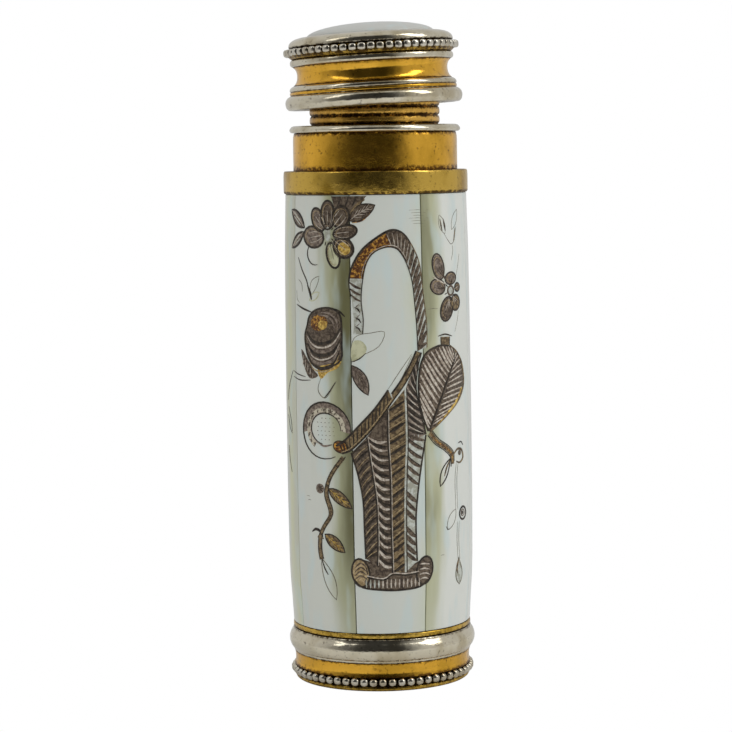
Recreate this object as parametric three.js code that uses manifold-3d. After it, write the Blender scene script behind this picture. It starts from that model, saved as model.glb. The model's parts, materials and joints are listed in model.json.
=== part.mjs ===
// Cylindrical pearl-and-gilt lipstick case with a swivel mechanism and a pull-off cap.
// Millimetres, +Z up. The origin is the centre of the underside. The decorated face looks along -Y.
import * as THREE from "three";
import { mergeVertices } from "three/addons/utils/BufferGeometryUtils.js";
import Module from "manifold-3d";

const wasm = await Module();
wasm.setup();

// ---- Driving dimensions ----
const SEGMENTS = 32; // facets round every turned part
const CLEARANCE = 0.05; // between turned parts that are pressed or stacked together
const TILT = THREE.MathUtils.degToRad(2.6); // how far the loose cap leans at rest

const FOOT_HEIGHT = 0.52;
const BEADS_TOP = 1.46;
const BAND_TOP = 2.97;
const KNOB_TOP = 5.6; // the turning base ends here
const HUB_RADIUS = 9.0;
const BARREL_BOTTOM = 6.25; // the pearl staves start here
const BARREL_TOP = 52.45;
const COLLAR_BAND_TOP = 54.95;
const COLLAR_TOP = 59.0;
const FLANGE_TOP = 59.74;
const NECK_TOP = 63.5;
const NECK_RADIUS = 6.94;
const NECK_BORE = 6.45;

const CORE_RADIUS = 8.35;
const CORE_BORE = 7.95;
const SLEEVE_RADIUS = 7.75;
const SLEEVE_BORE = 7.15;
const STAVE_BORE = 8.42;
const STAVES = 8;
const STAVE_ANGLE = (2 * Math.PI) / STAVES;
const FIRST_SEAM = THREE.MathUtils.degToRad(-16.5); // from the front, towards +X
const SEAM_WIDTH = 0.1;

const LEAD = 20; // lift in one turn of the base
const TRAVEL = 40;
const LUG_HEIGHT = 11; // height of the lugs with the carrier right down
const LUG_RADIUS = 0.6;
const LUG_REACH = 7.6;
const SLOT_HALF = 0.98; // half the height of the spiral slots, along the axis
const CUP_RADIUS = 6.3;
const CUP_BORE = 5.8;
const CUP_BOTTOM = 9.4;
const CUP_TOP = 21.5;
const BULLET_RADIUS = 5.7;
const BULLET_TIP = 26.2;

const CAP_BORE = 7.3;
const CAP_LINER_RADIUS = 7.7;
const CAP_RIM_RADIUS = 8.75;
const CAP_LOW_RIM = 61.36; // the rim's low point, on the -X side
const CAP_INSIDE = 6.62; // from the rim up to the backing plate
const CAP_HEIGHT = 9.0;
const CAP_LIFT = 1.35; // how far the cap stands off its seat at rest

// Outline of the pearl barrel: height, radius.
const BARREL_PROFILE = [
  [BARREL_BOTTOM, 9.6], [8.5, 9.72], [10.8, 9.88], [13, 9.96], [20, 10.02],
  [30.5, 10.01], [41, 9.94], [46.5, 9.88], [BARREL_TOP, 9.72],
];
const INLAY_SCALE = 10; // inlay outlines use arc lengths measured on this radius
const INLAY_BACK = 0.04; // the inlay's back and face stand this far off the pearl
const INLAY_FACE = 0.09;

// ---- Finishes ----
const finish = (color, roughness, metalness) =>
  new THREE.MeshStandardMaterial({ color, roughness, metalness });
const silver = () => finish(0xc9c4b8, 0.25, 1);
const gilt = () => finish(0xc9962f, 0.3, 1);
const brass = () => finish(0xa9853f, 0.4, 1);
const pearl = () => finish(0xd3d6c8, 0.25, 0);
const inlayMetal = () => finish(0x6b5a48, 0.45, 1);
const cork = () => finish(0xa67c4e, 0.9, 0);
const wax = () => finish(0xa3182a, 0.4, 0);

// ---- Geometry helpers ----
// Merges shared corners and turns the faces outwards.
function closed(geometry) {
  geometry.deleteAttribute("normal");
  geometry.deleteAttribute("uv");
  const merged = mergeVertices(geometry, 1e-4);
  const position = merged.attributes.position;
  const corner = (i) => new THREE.Vector3().fromBufferAttribute(position, i);
  const source = merged.index.array;
  const kept = [];
  let volume = 0;
  for (let i = 0; i < source.length; i += 3) {
    const [a, b, c] = [source[i], source[i + 1], source[i + 2]];
    if (a === b || b === c || c === a) continue;
    kept.push(a, b, c);
    volume += corner(a).dot(corner(b).cross(corner(c)));
  }
  merged.setIndex(volume < 0 ? kept.reverse() : kept);
  return merged;
}

function toSolid(geometry) {
  const clean = closed(geometry);
  return new wasm.Manifold(new wasm.Mesh({
    numProp: 3,
    vertProperties: new Float32Array(clean.attributes.position.array),
    triVerts: new Uint32Array(clean.index.array),
  }));
}

function fromSolid(solid) {
  const mesh = solid.getMesh();
  const geometry = new THREE.BufferGeometry();
  geometry.setAttribute("position", new THREE.BufferAttribute(mesh.vertProperties, 3));
  geometry.setIndex(new THREE.BufferAttribute(mesh.triVerts, 1));
  return geometry;
}

// A turned part: outline points are [radius, height], and the outline closes on itself.
function turned(outline, segments = SEGMENTS) {
  const points = [...outline, outline[0]].map(([radius, height]) => new THREE.Vector2(radius, height));
  return closed(new THREE.LatheGeometry(points, segments).rotateX(Math.PI / 2));
}

// A turned ring with a plain bore and a shaped outside, given from the bottom up.
const ring = (bore, outside) => turned([
  [bore, outside[0][1]],
  ...outside,
  [bore, outside.at(-1)[1]],
]);

const tube = (bore, radius, bottom, top) => ring(bore, [[radius, bottom], [radius, top]]);

// Points along part of a circle in the outline's plane, angles in degrees.
function arc(centreRadius, centreHeight, size, from, to, steps) {
  const points = [];
  for (let i = 0; i <= steps; i += 1) {
    const angle = THREE.MathUtils.degToRad(from + ((to - from) * i) / steps);
    points.push([centreRadius + size * Math.cos(angle), centreHeight + size * Math.sin(angle)]);
  }
  return points;
}

// A closed skin over rows of points, each row one cross-section of the piece.
function skin(rows) {
  const count = rows[0].length;
  const index = [];
  for (let i = 0; i + 1 < rows.length; i += 1) {
    for (let j = 0; j < count; j += 1) {
      const next = (j + 1) % count;
      const [a, b] = [i * count + j, i * count + next];
      index.push(a, b, b + count, a, b + count, a + count);
    }
  }
  const last = (rows.length - 1) * count;
  for (let j = 0; j < count / 2 - 1; j += 1) {
    const [a, b, c, d] = [j, j + 1, count - 2 - j, count - 1 - j];
    index.push(a, d, c, a, c, b);
    index.push(last + a, last + c, last + d, last + a, last + b, last + c);
  }
  const geometry = new THREE.BufferGeometry();
  geometry.setAttribute("position", new THREE.Float32BufferAttribute(rows.flat(2), 3));
  geometry.setIndex(index);
  return closed(geometry);
}

// ---- The pearl surface, and thin plates wrapped on it ----
function barrelRadius(height) {
  const upper = BARREL_PROFILE.findIndex(([level]) => level >= height);
  const [z1, r1] = BARREL_PROFILE[Math.max(upper, 1)];
  const [z0, r0] = BARREL_PROFILE[Math.max(upper, 1) - 1];
  return r0 + ((r1 - r0) * (height - z0)) / (z1 - z0);
}

function onBarrel([arcLength, height], offset) {
  const angle = arcLength / INLAY_SCALE;
  const radius = barrelRadius(height) + offset;
  return [radius * Math.sin(angle), -radius * Math.cos(angle), height];
}

const curve = (points) => new THREE.SplineCurve(points.map(([x, y]) => new THREE.Vector2(x, y)));

// A plate between two edge curves, each a list of [arc length, height] points.
function plate(leftEdge, rightEdge, rows = 10, columns = 2) {
  const left = curve(leftEdge);
  const right = curve(rightEdge);
  const sections = [];
  for (let i = 0; i <= rows; i += 1) {
    const [a, b] = [left.getPoint(i / rows), right.getPoint(i / rows)];
    const face = [];
    for (let j = 0; j <= columns; j += 1) {
      const point = a.clone().lerp(b, j / columns);
      face.push([point.x, point.y]);
    }
    sections.push([
      ...face.map((point) => onBarrel(point, INLAY_FACE)),
      ...face.reverse().map((point) => onBarrel(point, INLAY_BACK)),
    ]);
  }
  return skin(sections);
}

// A plate along a centre line; widthAt gives its full width at a fraction of the length.
function strip(centreLine, widthAt, rows = 10, columns = 2) {
  const line = curve(centreLine);
  const leftEdge = [];
  const rightEdge = [];
  for (let i = 0; i <= rows; i += 1) {
    const point = line.getPoint(i / rows);
    const along = line.getTangent(i / rows);
    const half = widthAt(i / rows) / 2;
    leftEdge.push([point.x - along.y * half, point.y + along.x * half]);
    rightEdge.push([point.x + along.y * half, point.y - along.x * half]);
  }
  return plate(leftEdge, rightEdge, rows, columns);
}

const stem = (points, width = 0.3) => strip(points, () => width, 2 * points.length, 1);

// A leaf or petal from its base to its tip.
const leaf = (base, tip, width) => strip(
  [base, tip],
  (t) => 0.12 + width * Math.sin(Math.PI * t ** 0.8),
  5,
);

// A round plate.
const disc = ([x, y], radius) => strip(
  [[x, y - radius], [x, y + radius]],
  (t) => 0.1 + 2 * radius * Math.sqrt(Math.max(0, 1 - (2 * t - 1) ** 2)),
  5,
);

// A flower plate: a lobed outline round a centre, built as rings so that it follows the curve.
function rosette([x, y], petals, valley, reach) {
  const spokes = 4 * petals;
  const rings = 3;
  const position = [];
  const at = (spoke, share, offset) => {
    const turn = (2 * Math.PI * spoke) / spokes;
    const lobe = valley + (reach - valley) * Math.abs(Math.sin((petals * turn) / 2));
    return onBarrel([x + share * lobe * Math.cos(turn), y + share * lobe * Math.sin(turn)], offset);
  };
  for (const offset of [INLAY_FACE, INLAY_BACK]) {
    position.push(onBarrel([x, y], offset));
    for (let level = 1; level <= rings; level += 1) {
      for (let spoke = 0; spoke < spokes; spoke += 1) position.push(at(spoke, level / rings, offset));
    }
  }
  const side = 1 + rings * spokes;
  const rim = 1 + (rings - 1) * spokes;
  const index = [];
  for (let spoke = 0; spoke < spokes; spoke += 1) {
    const next = (spoke + 1) % spokes;
    index.push(0, 1 + spoke, 1 + next, side, side + 1 + next, side + 1 + spoke);
    for (let level = 0; level + 1 < rings; level += 1) {
      const [a, b] = [1 + level * spokes + spoke, 1 + level * spokes + next];
      index.push(a, a + spokes, b + spokes, a, b + spokes, b);
      index.push(side + a, side + b + spokes, side + a + spokes, side + a, side + b, side + b + spokes);
    }
    const [a, b] = [rim + spoke, rim + next];
    index.push(a, side + a, side + b, a, side + b, b);
  }
  const geometry = new THREE.BufferGeometry();
  geometry.setAttribute("position", new THREE.Float32BufferAttribute(position.flat(), 3));
  geometry.setIndex(index);
  return closed(geometry);
}

const joined = (pieces) => fromSolid(
  pieces.map(toSolid).reduce((whole, piece) => whole.add(piece)),
);

// ---- The turning base ----
const footDisc = () => turned([
  [0, 0], [9.25, 0], [9.42, 0.1], [9.48, 0.28], [9.42, 0.44], [9.3, FOOT_HEIGHT], [0, FOOT_HEIGHT],
]);

const baseBeadRing = () => ring(HUB_RADIUS + CLEARANCE, [
  [9.4, FOOT_HEIGHT + 0.03], ...arc(9.53, 1, 0.42, -60, 60, 2), [9.4, BEADS_TOP],
]);

const baseBand = () => ring(HUB_RADIUS + CLEARANCE, [
  [9.6, BEADS_TOP + 0.03], [9.5, 1.8], [9.5, 2.6], [9.6, BAND_TOP],
]);

const baseMoulding = () => ring(HUB_RADIUS + CLEARANCE, [
  [9.7, BAND_TOP + 0.03], ...arc(8.75, 4.27, 1.35, -42, 42, 6), [9.6, KNOB_TOP],
]);

const knobHub = () => turned([
  [0, FOOT_HEIGHT + CLEARANCE], [HUB_RADIUS, FOOT_HEIGHT + CLEARANCE], [HUB_RADIUS, 5.05],
  [SLEEVE_RADIUS + 0.07, 5.05], [SLEEVE_RADIUS + 0.07, 2], [0, 2],
]);

const thrustWasher = () => tube(7.9, HUB_RADIUS, 5.08, KNOB_TOP - 0.02);

// The spiral slot for one lug falls away from the lug's own side as the sleeve turns.
function spiralCutter(lugAngle) {
  const margin = 0.13; // radians past each end of the lug's travel
  const sweep = (2 * Math.PI * TRAVEL) / LEAD + 2 * margin;
  const steps = 30;
  const rows = [];
  for (let i = 0; i <= steps; i += 1) {
    const turn = (sweep * i) / steps - margin;
    const height = LUG_HEIGHT + (LEAD * turn) / (2 * Math.PI);
    const angle = lugAngle - turn;
    const at = (radius, z) => [radius * Math.cos(angle), radius * Math.sin(angle), z];
    rows.push([
      at(SLEEVE_BORE - 0.3, height - SLOT_HALF), at(SLEEVE_RADIUS + 0.3, height - SLOT_HALF),
      at(SLEEVE_RADIUS + 0.3, height + SLOT_HALF), at(SLEEVE_BORE - 0.3, height + SLOT_HALF),
    ]);
  }
  return toSolid(skin(rows));
}

function spiralSleeve() {
  const blank = toSolid(turned([
    [SLEEVE_BORE, 2.05], [SLEEVE_RADIUS, 2.05], [SLEEVE_RADIUS, 53.8], [SLEEVE_BORE, 53.8],
  ], 24));
  return fromSolid(blank.subtract(spiralCutter(0)).subtract(spiralCutter(Math.PI)));
}

// ---- The barrel ----
const edgeRing = () => ring(CORE_BORE, [
  [9.5, KNOB_TOP + CLEARANCE], [9.65, 5.75], [9.65, 6.1], [9.6, BARREL_BOTTOM - CLEARANCE],
]);

const coreTube = () => tube(CORE_BORE, CORE_RADIUS, BARREL_BOTTOM, COLLAR_BAND_TOP - CLEARANCE);

// One stave: the turned pearl shell cut by a wedge whose apex is set in by half a seam.
function pearlStave(number) {
  const middle = FIRST_SEAM + (number - 0.5) * STAVE_ANGLE;
  const inset = SEAM_WIDTH / 2 / Math.sin(STAVE_ANGLE / 2);
  const point = (angle, radius) => new THREE.Vector2(
    inset * Math.sin(middle) + radius * Math.sin(angle),
    -inset * Math.cos(middle) - radius * Math.cos(angle),
  );
  const reach = 14;
  const wedge = new THREE.ExtrudeGeometry(new THREE.Shape([
    point(middle, 0), point(middle - STAVE_ANGLE / 2, reach), point(middle + STAVE_ANGLE / 2, reach),
  ]), { depth: 60, bevelEnabled: false });
  const shell = ring(STAVE_BORE, BARREL_PROFILE.map(([height, radius]) => [radius, height]));
  return fromSolid(toSolid(shell).intersect(toSolid(wedge)));
}

const collarBand = () => ring(STAVE_BORE, [
  [9.82, BARREL_TOP + CLEARANCE], [9.9, 52.7], [9.9, 54.75], [9.82, COLLAR_BAND_TOP - 0.03],
]);

const collarTube = () => tube(CORE_BORE, 8.81, COLLAR_BAND_TOP, COLLAR_TOP - 0.03);

const neckBush = () => tube(NECK_RADIUS + 0.1, CORE_BORE - 0.1, 54.3, COLLAR_TOP - 0.1);

const neckFlange = () => ring(NECK_RADIUS + 0.1, [
  [8.95, COLLAR_TOP], [9.17, 59.15], [9.17, 59.45], [8.85, FLANGE_TOP],
]);

// The guide tube: ribbed neck above the flange, straight slots for the lugs below.
function guideTube() {
  const ribPitch = 0.75;
  const ribs = [];
  for (let z = FLANGE_TOP + 0.3; z + ribPitch < NECK_TOP; z += ribPitch) {
    ribs.push([6.85, z], [7.0, z + 0.25], [7.0, z + 0.5]);
  }
  const blank = toSolid(ring(NECK_BORE, [
    [NECK_RADIUS, 7], [NECK_RADIUS, FLANGE_TOP], ...ribs, [6.85, NECK_TOP - 0.2], [6.75, NECK_TOP],
  ]));
  const slotLength = TRAVEL + 1.9;
  const slot = new THREE.BoxGeometry(20, 1.5, slotLength);
  slot.translate(0, 0, LUG_HEIGHT + TRAVEL / 2);
  return fromSolid(blank.subtract(toSolid(slot)));
}

// ---- The inlay, outlines in [arc length, height] on the front of the barrel ----
const basket = () => plate(
  [[-1.6, 14.6], [-1.6, 16.9], [-2, 20], [-2.7, 23.5], [-4.6, 26]],
  [[4.1, 14.6], [3.7, 17.5], [4.3, 24.1], [5, 27.6], [4.1, 32.1], [4.3, 35.7]],
  14,
  8,
);

const basketFoot = () => plate(
  [[-1.8, 11.4], [-3.1, 12.7], [-2.2, 14.4]],
  [[4.6, 11.4], [5.8, 12.7], [5, 14.4]],
  4,
  8,
);

const basketHandle = () => plate(
  [[-2.5, 39.4], [-2.8, 43.2], [-1.6, 46.7], [1.6, 48.7], [3.9, 47], [5, 43.2], [5.4, 39], [5.3, 36.7]],
  [[-1.7, 39.7], [-1.6, 43.1], [-0.6, 46.1], [1.5, 47.1], [2.9, 45.9], [3.9, 43.1], [4.4, 39.3], [4.4, 36.6]],
  28,
  1,
);

const plume = () => plate(
  [[5.6, 27.9], [4.6, 31.1], [4.7, 34.9], [6.3, 36.5], [8.1, 36.6]],
  [[6.1, 28.1], [8.5, 29.5], [11.2, 31.6], [10.8, 34.5], [8.7, 36.5]],
  12,
  5,
);

// An open loop beside the basket, thicker at its top.
function ringLoop() {
  const line = [];
  for (let angle = 25; angle <= 285; angle += 20) {
    const turn = THREE.MathUtils.degToRad(angle);
    line.push([-6.2 + 2.6 * Math.cos(turn), 27.8 + 2.3 * Math.sin(turn)]);
  }
  return strip(line, (t) => 1.15 - 0.35 * t, 26, 1);
}

const leftSpray = () => joined([
  stem([[-4, 24.9], [-5.7, 23.1], [-6, 21.8], [-5.5, 19.5], [-6.5, 17.1], [-6.9, 15.3], [-6.7, 13.7]]),
  leaf([-5.9, 21.4], [-3.1, 19.7], 0.9),
  leaf([-6.6, 16.6], [-3.9, 14.9], 0.9),
  leaf([-6.8, 14.4], [-5, 10], 1.2),
  disc([-6.5, 21.5], 0.6),
  stem([[-6.6, 16.5], [-7.3, 17.1], [-8, 16.9]]),
]);

const rightSpray = () => joined([
  stem([[6, 27.2], [7.8, 25.6], [8.9, 24.6], [9.4, 21.9], [9.4, 19.8], [10, 17.9], [10, 15.4], [9.8, 13.2]]),
  disc([9.5, 24.8], 0.75),
  leaf([9, 24.3], [7.1, 21.7], 1),
  disc([10.5, 18.2], 0.7),
  leaf([9.4, 19.4], [7.9, 16.9], 0.9),
  leaf([9.8, 13.6], [9.8, 10.7], 1.2),
]);

const flower = () => joined([
  rosette([-5.2, 48.4], 8, 2, 3.4),
  leaf([-3.7, 49.6], [-0.2, 51.8], 1.2),
  leaf([-7.5, 48.5], [-11, 51], 1),
  leaf([-7.5, 48.5], [-11.1, 47.2], 1),
]);

const bud = () => plate(
  [[-7, 33.4], [-8.7, 34.7], [-9, 36.7], [-7.9, 39.5], [-6.2, 40.5]],
  [[-5.4, 33.8], [-4.3, 35], [-4.4, 36.9], [-4.1, 39.2], [-5.3, 40.5]],
  8,
  4,
);

const budLeaf = () => leaf([-2.5, 34.8], [-1.1, 31.5], 1.1);

const blossom = () => joined([
  rosette([8.8, 42.2], 6, 1.2, 2.6),
  leaf([8.2, 43.4], [6.9, 46.3], 1.4),
]);

// ---- The lipstick carrier ----
const lugShape = (radius, inner, outer, side) => new THREE.CylinderGeometry(radius, radius, outer - inner, 12)
  .rotateZ(Math.PI / 2)
  .translate((side * (inner + outer)) / 2, 0, LUG_HEIGHT);

const lugPin = (side) => closed(lugShape(LUG_RADIUS, BULLET_RADIUS + 0.15, LUG_REACH, side));

function carrierCup() {
  const blank = toSolid(turned([
    [0, CUP_BOTTOM], [CUP_RADIUS, CUP_BOTTOM], [CUP_RADIUS, CUP_TOP], [CUP_BORE, CUP_TOP],
    [CUP_BORE, CUP_BOTTOM + 0.8], [0, CUP_BOTTOM + 0.8],
  ]));
  const hole = (side) => toSolid(lugShape(LUG_RADIUS + 0.04, CUP_BORE - 0.5, CUP_RADIUS + 0.5, side));
  return fromSolid(blank.subtract(hole(1)).subtract(hole(-1)));
}

// A short, part-used stick with a rounded tip and the usual slanted face.
function lipstick() {
  const shoulder = BULLET_TIP - 4;
  const round = turned([
    [0, CUP_BOTTOM + 0.9], [BULLET_RADIUS, CUP_BOTTOM + 0.9],
    [BULLET_RADIUS, shoulder], [5.5, shoulder + 1.2], [4.8, shoulder + 2.4], [3.3, shoulder + 3.5],
    [0, BULLET_TIP],
  ]);
  const slant = new THREE.BoxGeometry(30, 30, 10)
    .translate(0, 0, 5)
    .rotateX(THREE.MathUtils.degToRad(-26))
    .translate(0, 0, BULLET_TIP - 1);
  return fromSolid(toSolid(round).subtract(toSolid(slant)));
}

// ---- The cap, in its own frame with its rim at height 0 ----
const capSkirt = () => ring(CAP_LINER_RADIUS + CLEARANCE, [
  [CAP_RIM_RADIUS, 0], [9.25, 0.12], [9.46, 0.42], [9.52, 0.8], [9.42, 1.2], [9.1, 1.6], [8.95, 1.9], [8.5, 2.6],
]);

const capLiner = () => tube(CAP_BORE, CAP_LINER_RADIUS, 0.1, CAP_INSIDE - CLEARANCE);

const capBand = () => ring(CAP_LINER_RADIUS + CLEARANCE, [
  [8.5, 2.63], [8.2, 3.05], [8.07, 3.7], [8.15, 4.2], [8.47, 4.6],
]);

const capListel = () => ring(CAP_LINER_RADIUS + CLEARANCE, [
  [8.5, 4.63], [8.78, 4.85], [8.78, 5.1], [8.5, 5.3],
]);

const capBeadRing = () => ring(CAP_LINER_RADIUS + CLEARANCE, [
  [8.5, 5.33], [8.7, 5.65], ...arc(9.0, 6.1, 0.44, -60, 60, 2), [8.8, CAP_INSIDE - 0.02],
]);

const capBacking = () => turned([
  [0, CAP_INSIDE], [8, CAP_INSIDE], [8, 6.94], [0, 6.94],
]);

// The bezel is a rebated ring: it sits over the backing plate's edge and slopes in to the dome.
const capBezel = () => turned([
  [6.95, 6.98], [8.05, 6.98], [8.05, CAP_INSIDE + 0.02], [8.78, CAP_INSIDE + 0.02], [8.7, 6.85],
  [8.5, 7.03], [8.2, 7.2], [7.8, 7.37], [7.3, 7.52], [6.95, 7.58],
]);

function pearlDome() {
  const radius = 6.85;
  const edge = 7.55;
  const outline = [[0, 6.98], [radius, 6.98]];
  for (let i = 0; i <= 5; i += 1) {
    const angle = (Math.PI / 2) * (i / 5);
    outline.push([radius * Math.cos(angle), edge + (CAP_HEIGHT - edge) * Math.sin(angle)]);
  }
  return turned(outline);
}

// The cork ring closes on the neck's rim; it slides with the cap but stays square to the neck.
const capSeal = () => tube(5.95, 7, NECK_TOP + 0.06 + CAP_LIFT, NECK_TOP + 0.9 + CAP_LIFT);

// ---- Assembly ----
function named(name, geometry, material) {
  const mesh = new THREE.Mesh(geometry, material);
  mesh.name = name;
  return mesh;
}

const knob = new THREE.Group();
knob.add(
  named("foot_disc", footDisc(), silver()),
  named("base_bead_ring", baseBeadRing(), gilt()),
  named("base_band", baseBand(), gilt()),
  named("base_moulding", baseMoulding(), silver()),
  named("knob_hub", knobHub(), brass()),
  named("thrust_washer", thrustWasher(), brass()),
  named("spiral_sleeve", spiralSleeve(), brass()),
);

const barrel = new THREE.Group();
barrel.add(
  named("edge_ring", edgeRing(), gilt()),
  named("core_tube", coreTube(), brass()),
  named("collar_band", collarBand(), gilt()),
  named("collar_tube", collarTube(), gilt()),
  named("neck_bush", neckBush(), brass()),
  named("neck_flange", neckFlange(), silver()),
  named("guide_tube", guideTube(), gilt()),
);
for (let number = 1; number <= STAVES; number += 1) {
  barrel.add(named(`pearl_stave_${number}`, pearlStave(number), pearl()));
}
const inlays = {
  basket, basket_foot: basketFoot, basket_handle: basketHandle, plume, ring_loop: ringLoop,
  left_spray: leftSpray, right_spray: rightSpray, flower, bud, bud_leaf: budLeaf, blossom,
};
for (const [name, shape] of Object.entries(inlays)) {
  barrel.add(named(`inlay_${name}`, shape(), inlayMetal()));
}

const carrier = new THREE.Group();
carrier.add(
  named("carrier_cup", carrierCup(), gilt()),
  named("lug_pin_left", lugPin(-1), brass()),
  named("lug_pin_right", lugPin(1), brass()),
  named("lipstick", lipstick(), wax()),
);

// The cap leans about its rim's low point.
const cap = new THREE.Group();
cap.position.set(-CAP_RIM_RADIUS, 0, CAP_LOW_RIM);
cap.rotation.y = -TILT;
const capParts = new THREE.Group();
capParts.position.x = CAP_RIM_RADIUS;
capParts.add(
  named("cap_skirt", capSkirt(), silver()),
  named("cap_liner", capLiner(), brass()),
  named("cap_band", capBand(), gilt()),
  named("cap_listel", capListel(), silver()),
  named("cap_bead_ring", capBeadRing(), silver()),
  named("cap_backing", capBacking(), brass()),
  named("cap_bezel", capBezel(), silver()),
  named("pearl_dome", pearlDome(), pearl()),
);
cap.add(capParts);

const lipstickCase = new THREE.Group();
lipstickCase.add(knob, barrel, carrier, cap, named("cap_seal", capSeal(), cork()));

export default lipstickCase;
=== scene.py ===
"""Looks of the pearl lipstick case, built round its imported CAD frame.

Blender works in metres. Outlines here are in millimetres, in the frame's own axes: +Z up the case, and the
inlaid picture on the -Y side. Inlay outlines are (arc, height) pairs: arc runs round the barrel from the
middle of the picture, measured on a 10 mm radius, and height is above the underside.
"""
import json
import math
import random

import bmesh
import bpy
from mathutils import Matrix, Vector
from mathutils.geometry import delaunay_2d_cdt


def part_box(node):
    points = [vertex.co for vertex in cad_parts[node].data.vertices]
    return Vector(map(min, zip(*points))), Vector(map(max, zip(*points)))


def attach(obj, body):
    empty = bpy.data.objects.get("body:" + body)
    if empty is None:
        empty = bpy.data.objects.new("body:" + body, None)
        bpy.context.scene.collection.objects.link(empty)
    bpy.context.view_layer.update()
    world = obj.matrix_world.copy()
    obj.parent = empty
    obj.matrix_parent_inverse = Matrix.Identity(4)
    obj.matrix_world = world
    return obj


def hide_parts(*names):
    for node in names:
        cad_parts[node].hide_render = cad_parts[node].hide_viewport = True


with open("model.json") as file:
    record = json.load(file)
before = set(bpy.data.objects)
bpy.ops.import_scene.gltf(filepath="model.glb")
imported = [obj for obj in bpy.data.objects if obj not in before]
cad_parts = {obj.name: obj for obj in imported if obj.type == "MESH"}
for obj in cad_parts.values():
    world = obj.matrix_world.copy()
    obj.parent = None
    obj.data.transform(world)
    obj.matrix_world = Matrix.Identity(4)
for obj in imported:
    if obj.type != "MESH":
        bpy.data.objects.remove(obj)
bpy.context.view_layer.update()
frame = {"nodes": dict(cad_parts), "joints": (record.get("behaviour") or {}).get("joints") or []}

MM = 0.001
ROUND = 192  # faces round a turned piece
TAU = 2 * math.pi
EASE = 0.05  # corners of turned pieces are rounded by this much, in millimetres
CORNER = math.radians(25)  # an outline that turns by less than this has no corner to round
ON_AXIS = 1e-6  # an outline point with a smaller radius lies on the axis
random.seed(7)


# ---- Where things are, read from the frame ----
def span(node):
    """Bottom, top and outer radius of an upright node, in millimetres."""
    low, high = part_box(node)
    return low.z / MM, high.z / MM, high.x / MM


STAVE_BOTTOM, STAVE_TOP, _ = span("pearl_stave_1")
BARREL_PROFILE = [
    (STAVE_BOTTOM, 9.6), (8.5, 9.72), (10.8, 9.88), (13.0, 9.96), (20.0, 10.02),
    (30.5, 10.01), (41.0, 9.94), (46.5, 9.88), (STAVE_TOP, 9.72),
]
STAVES = 8
FIRST_SEAM = math.radians(-16.5)  # from the front towards +X
ARC_RADIUS = 10.0  # the radius on which arcs are measured

ROCK = next(joint for joint in frame["joints"] if joint["name"] == "cap_rock")
CAP_PIVOT = Vector(ROCK["pos_m"])
CAP_TILT = math.radians(ROCK["range_deg"][0])
CAP_AXIS_SHIFT = Matrix.Translation((-CAP_PIVOT.x, 0, 0))
CAP_FRAME = Matrix.Translation(CAP_PIVOT) @ Matrix.Rotation(CAP_TILT, 4, "Y") @ CAP_AXIS_SHIFT


# ---- Materials ----
class Nodes:
    """Short ways to add nodes to a tree."""

    def __init__(self, tree):
        self.tree = tree

    def node(self, kind, **fields):
        made = self.tree.nodes.new(kind)
        for field, value in fields.items():
            setattr(made, field, value)
        return made

    def link(self, value, socket):
        if isinstance(value, bpy.types.NodeSocket):
            self.tree.links.new(value, socket)
        else:
            socket.default_value = value

    def ramp(self, value, low, high, out_low=0.0, out_high=1.0):
        """Maps low..high to out_low..out_high, smoothly."""
        made = self.node("ShaderNodeMapRange", interpolation_type="SMOOTHSTEP")
        for socket, number in zip(("Value", "From Min", "From Max", "To Min", "To Max"),
                                  (value, low, high, out_low, out_high)):
            self.link(number, made.inputs[socket])
        return made.outputs["Result"]

    def calc(self, operation, *values):
        made = self.node("ShaderNodeMath", operation=operation)
        for value, socket in zip(values, made.inputs):
            self.link(value, socket)
        return made.outputs["Value"]

    def sum(self, a, b):
        return self.calc("ADD", a, b)

    def times(self, a, b):
        return self.calc("MULTIPLY", a, b)


class Surface(Nodes):
    """A material, with the textures that this object needs."""

    def __init__(self, name, **settings):
        self.material = bpy.data.materials.new(name)
        self.material.use_nodes = True
        super().__init__(self.material.node_tree)
        self.shader = self.tree.nodes["Principled BSDF"]
        self.place = self.node("ShaderNodeTexCoord").outputs["Object"]
        for socket, value in settings.items():
            self.shader.inputs[socket.replace("_", " ")].default_value = value

    def into(self, socket_name, value):
        self.link(value, self.shader.inputs[socket_name])

    def noise(self, size, detail=3.0, stretch=(1, 1, 1), shift=0.0, rough=0.5):
        """Cloudy noise with features about size millimetres across."""
        mapping = self.node("ShaderNodeMapping")
        mapping.inputs["Scale"].default_value = stretch
        mapping.inputs["Location"].default_value = (shift, shift, shift)
        self.link(self.place, mapping.inputs["Vector"])
        noise = self.node("ShaderNodeTexNoise")
        for socket, value in (("Vector", mapping.outputs["Vector"]), ("Scale", 1 / (size * MM)),
                              ("Detail", detail), ("Roughness", rough)):
            self.link(value, noise.inputs[socket])
        return noise.outputs["Fac"]

    def mix(self, share, a, b):
        """Colour a where share is 0, b where it is 1."""
        made = self.node("ShaderNodeMix", data_type="RGBA")
        colours = [socket for socket in made.inputs if socket.type == "RGBA"]
        self.link(share, made.inputs["Factor"])
        for socket, value in zip(colours, (a, b)):
            self.link(value if isinstance(value, bpy.types.NodeSocket) else (*value, 1), socket)
        return next(socket for socket in made.outputs if socket.type == "RGBA")

    def attribute(self, name):
        return self.node("ShaderNodeAttribute", attribute_name=name).outputs["Fac"]

    def bump(self, height, depth):
        """Surface relief, depth in millimetres for a height of 1."""
        made = self.node("ShaderNodeBump")
        made.inputs["Distance"].default_value = depth * MM
        self.link(height, made.inputs["Height"])
        self.into("Normal", made.outputs["Normal"])


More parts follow.
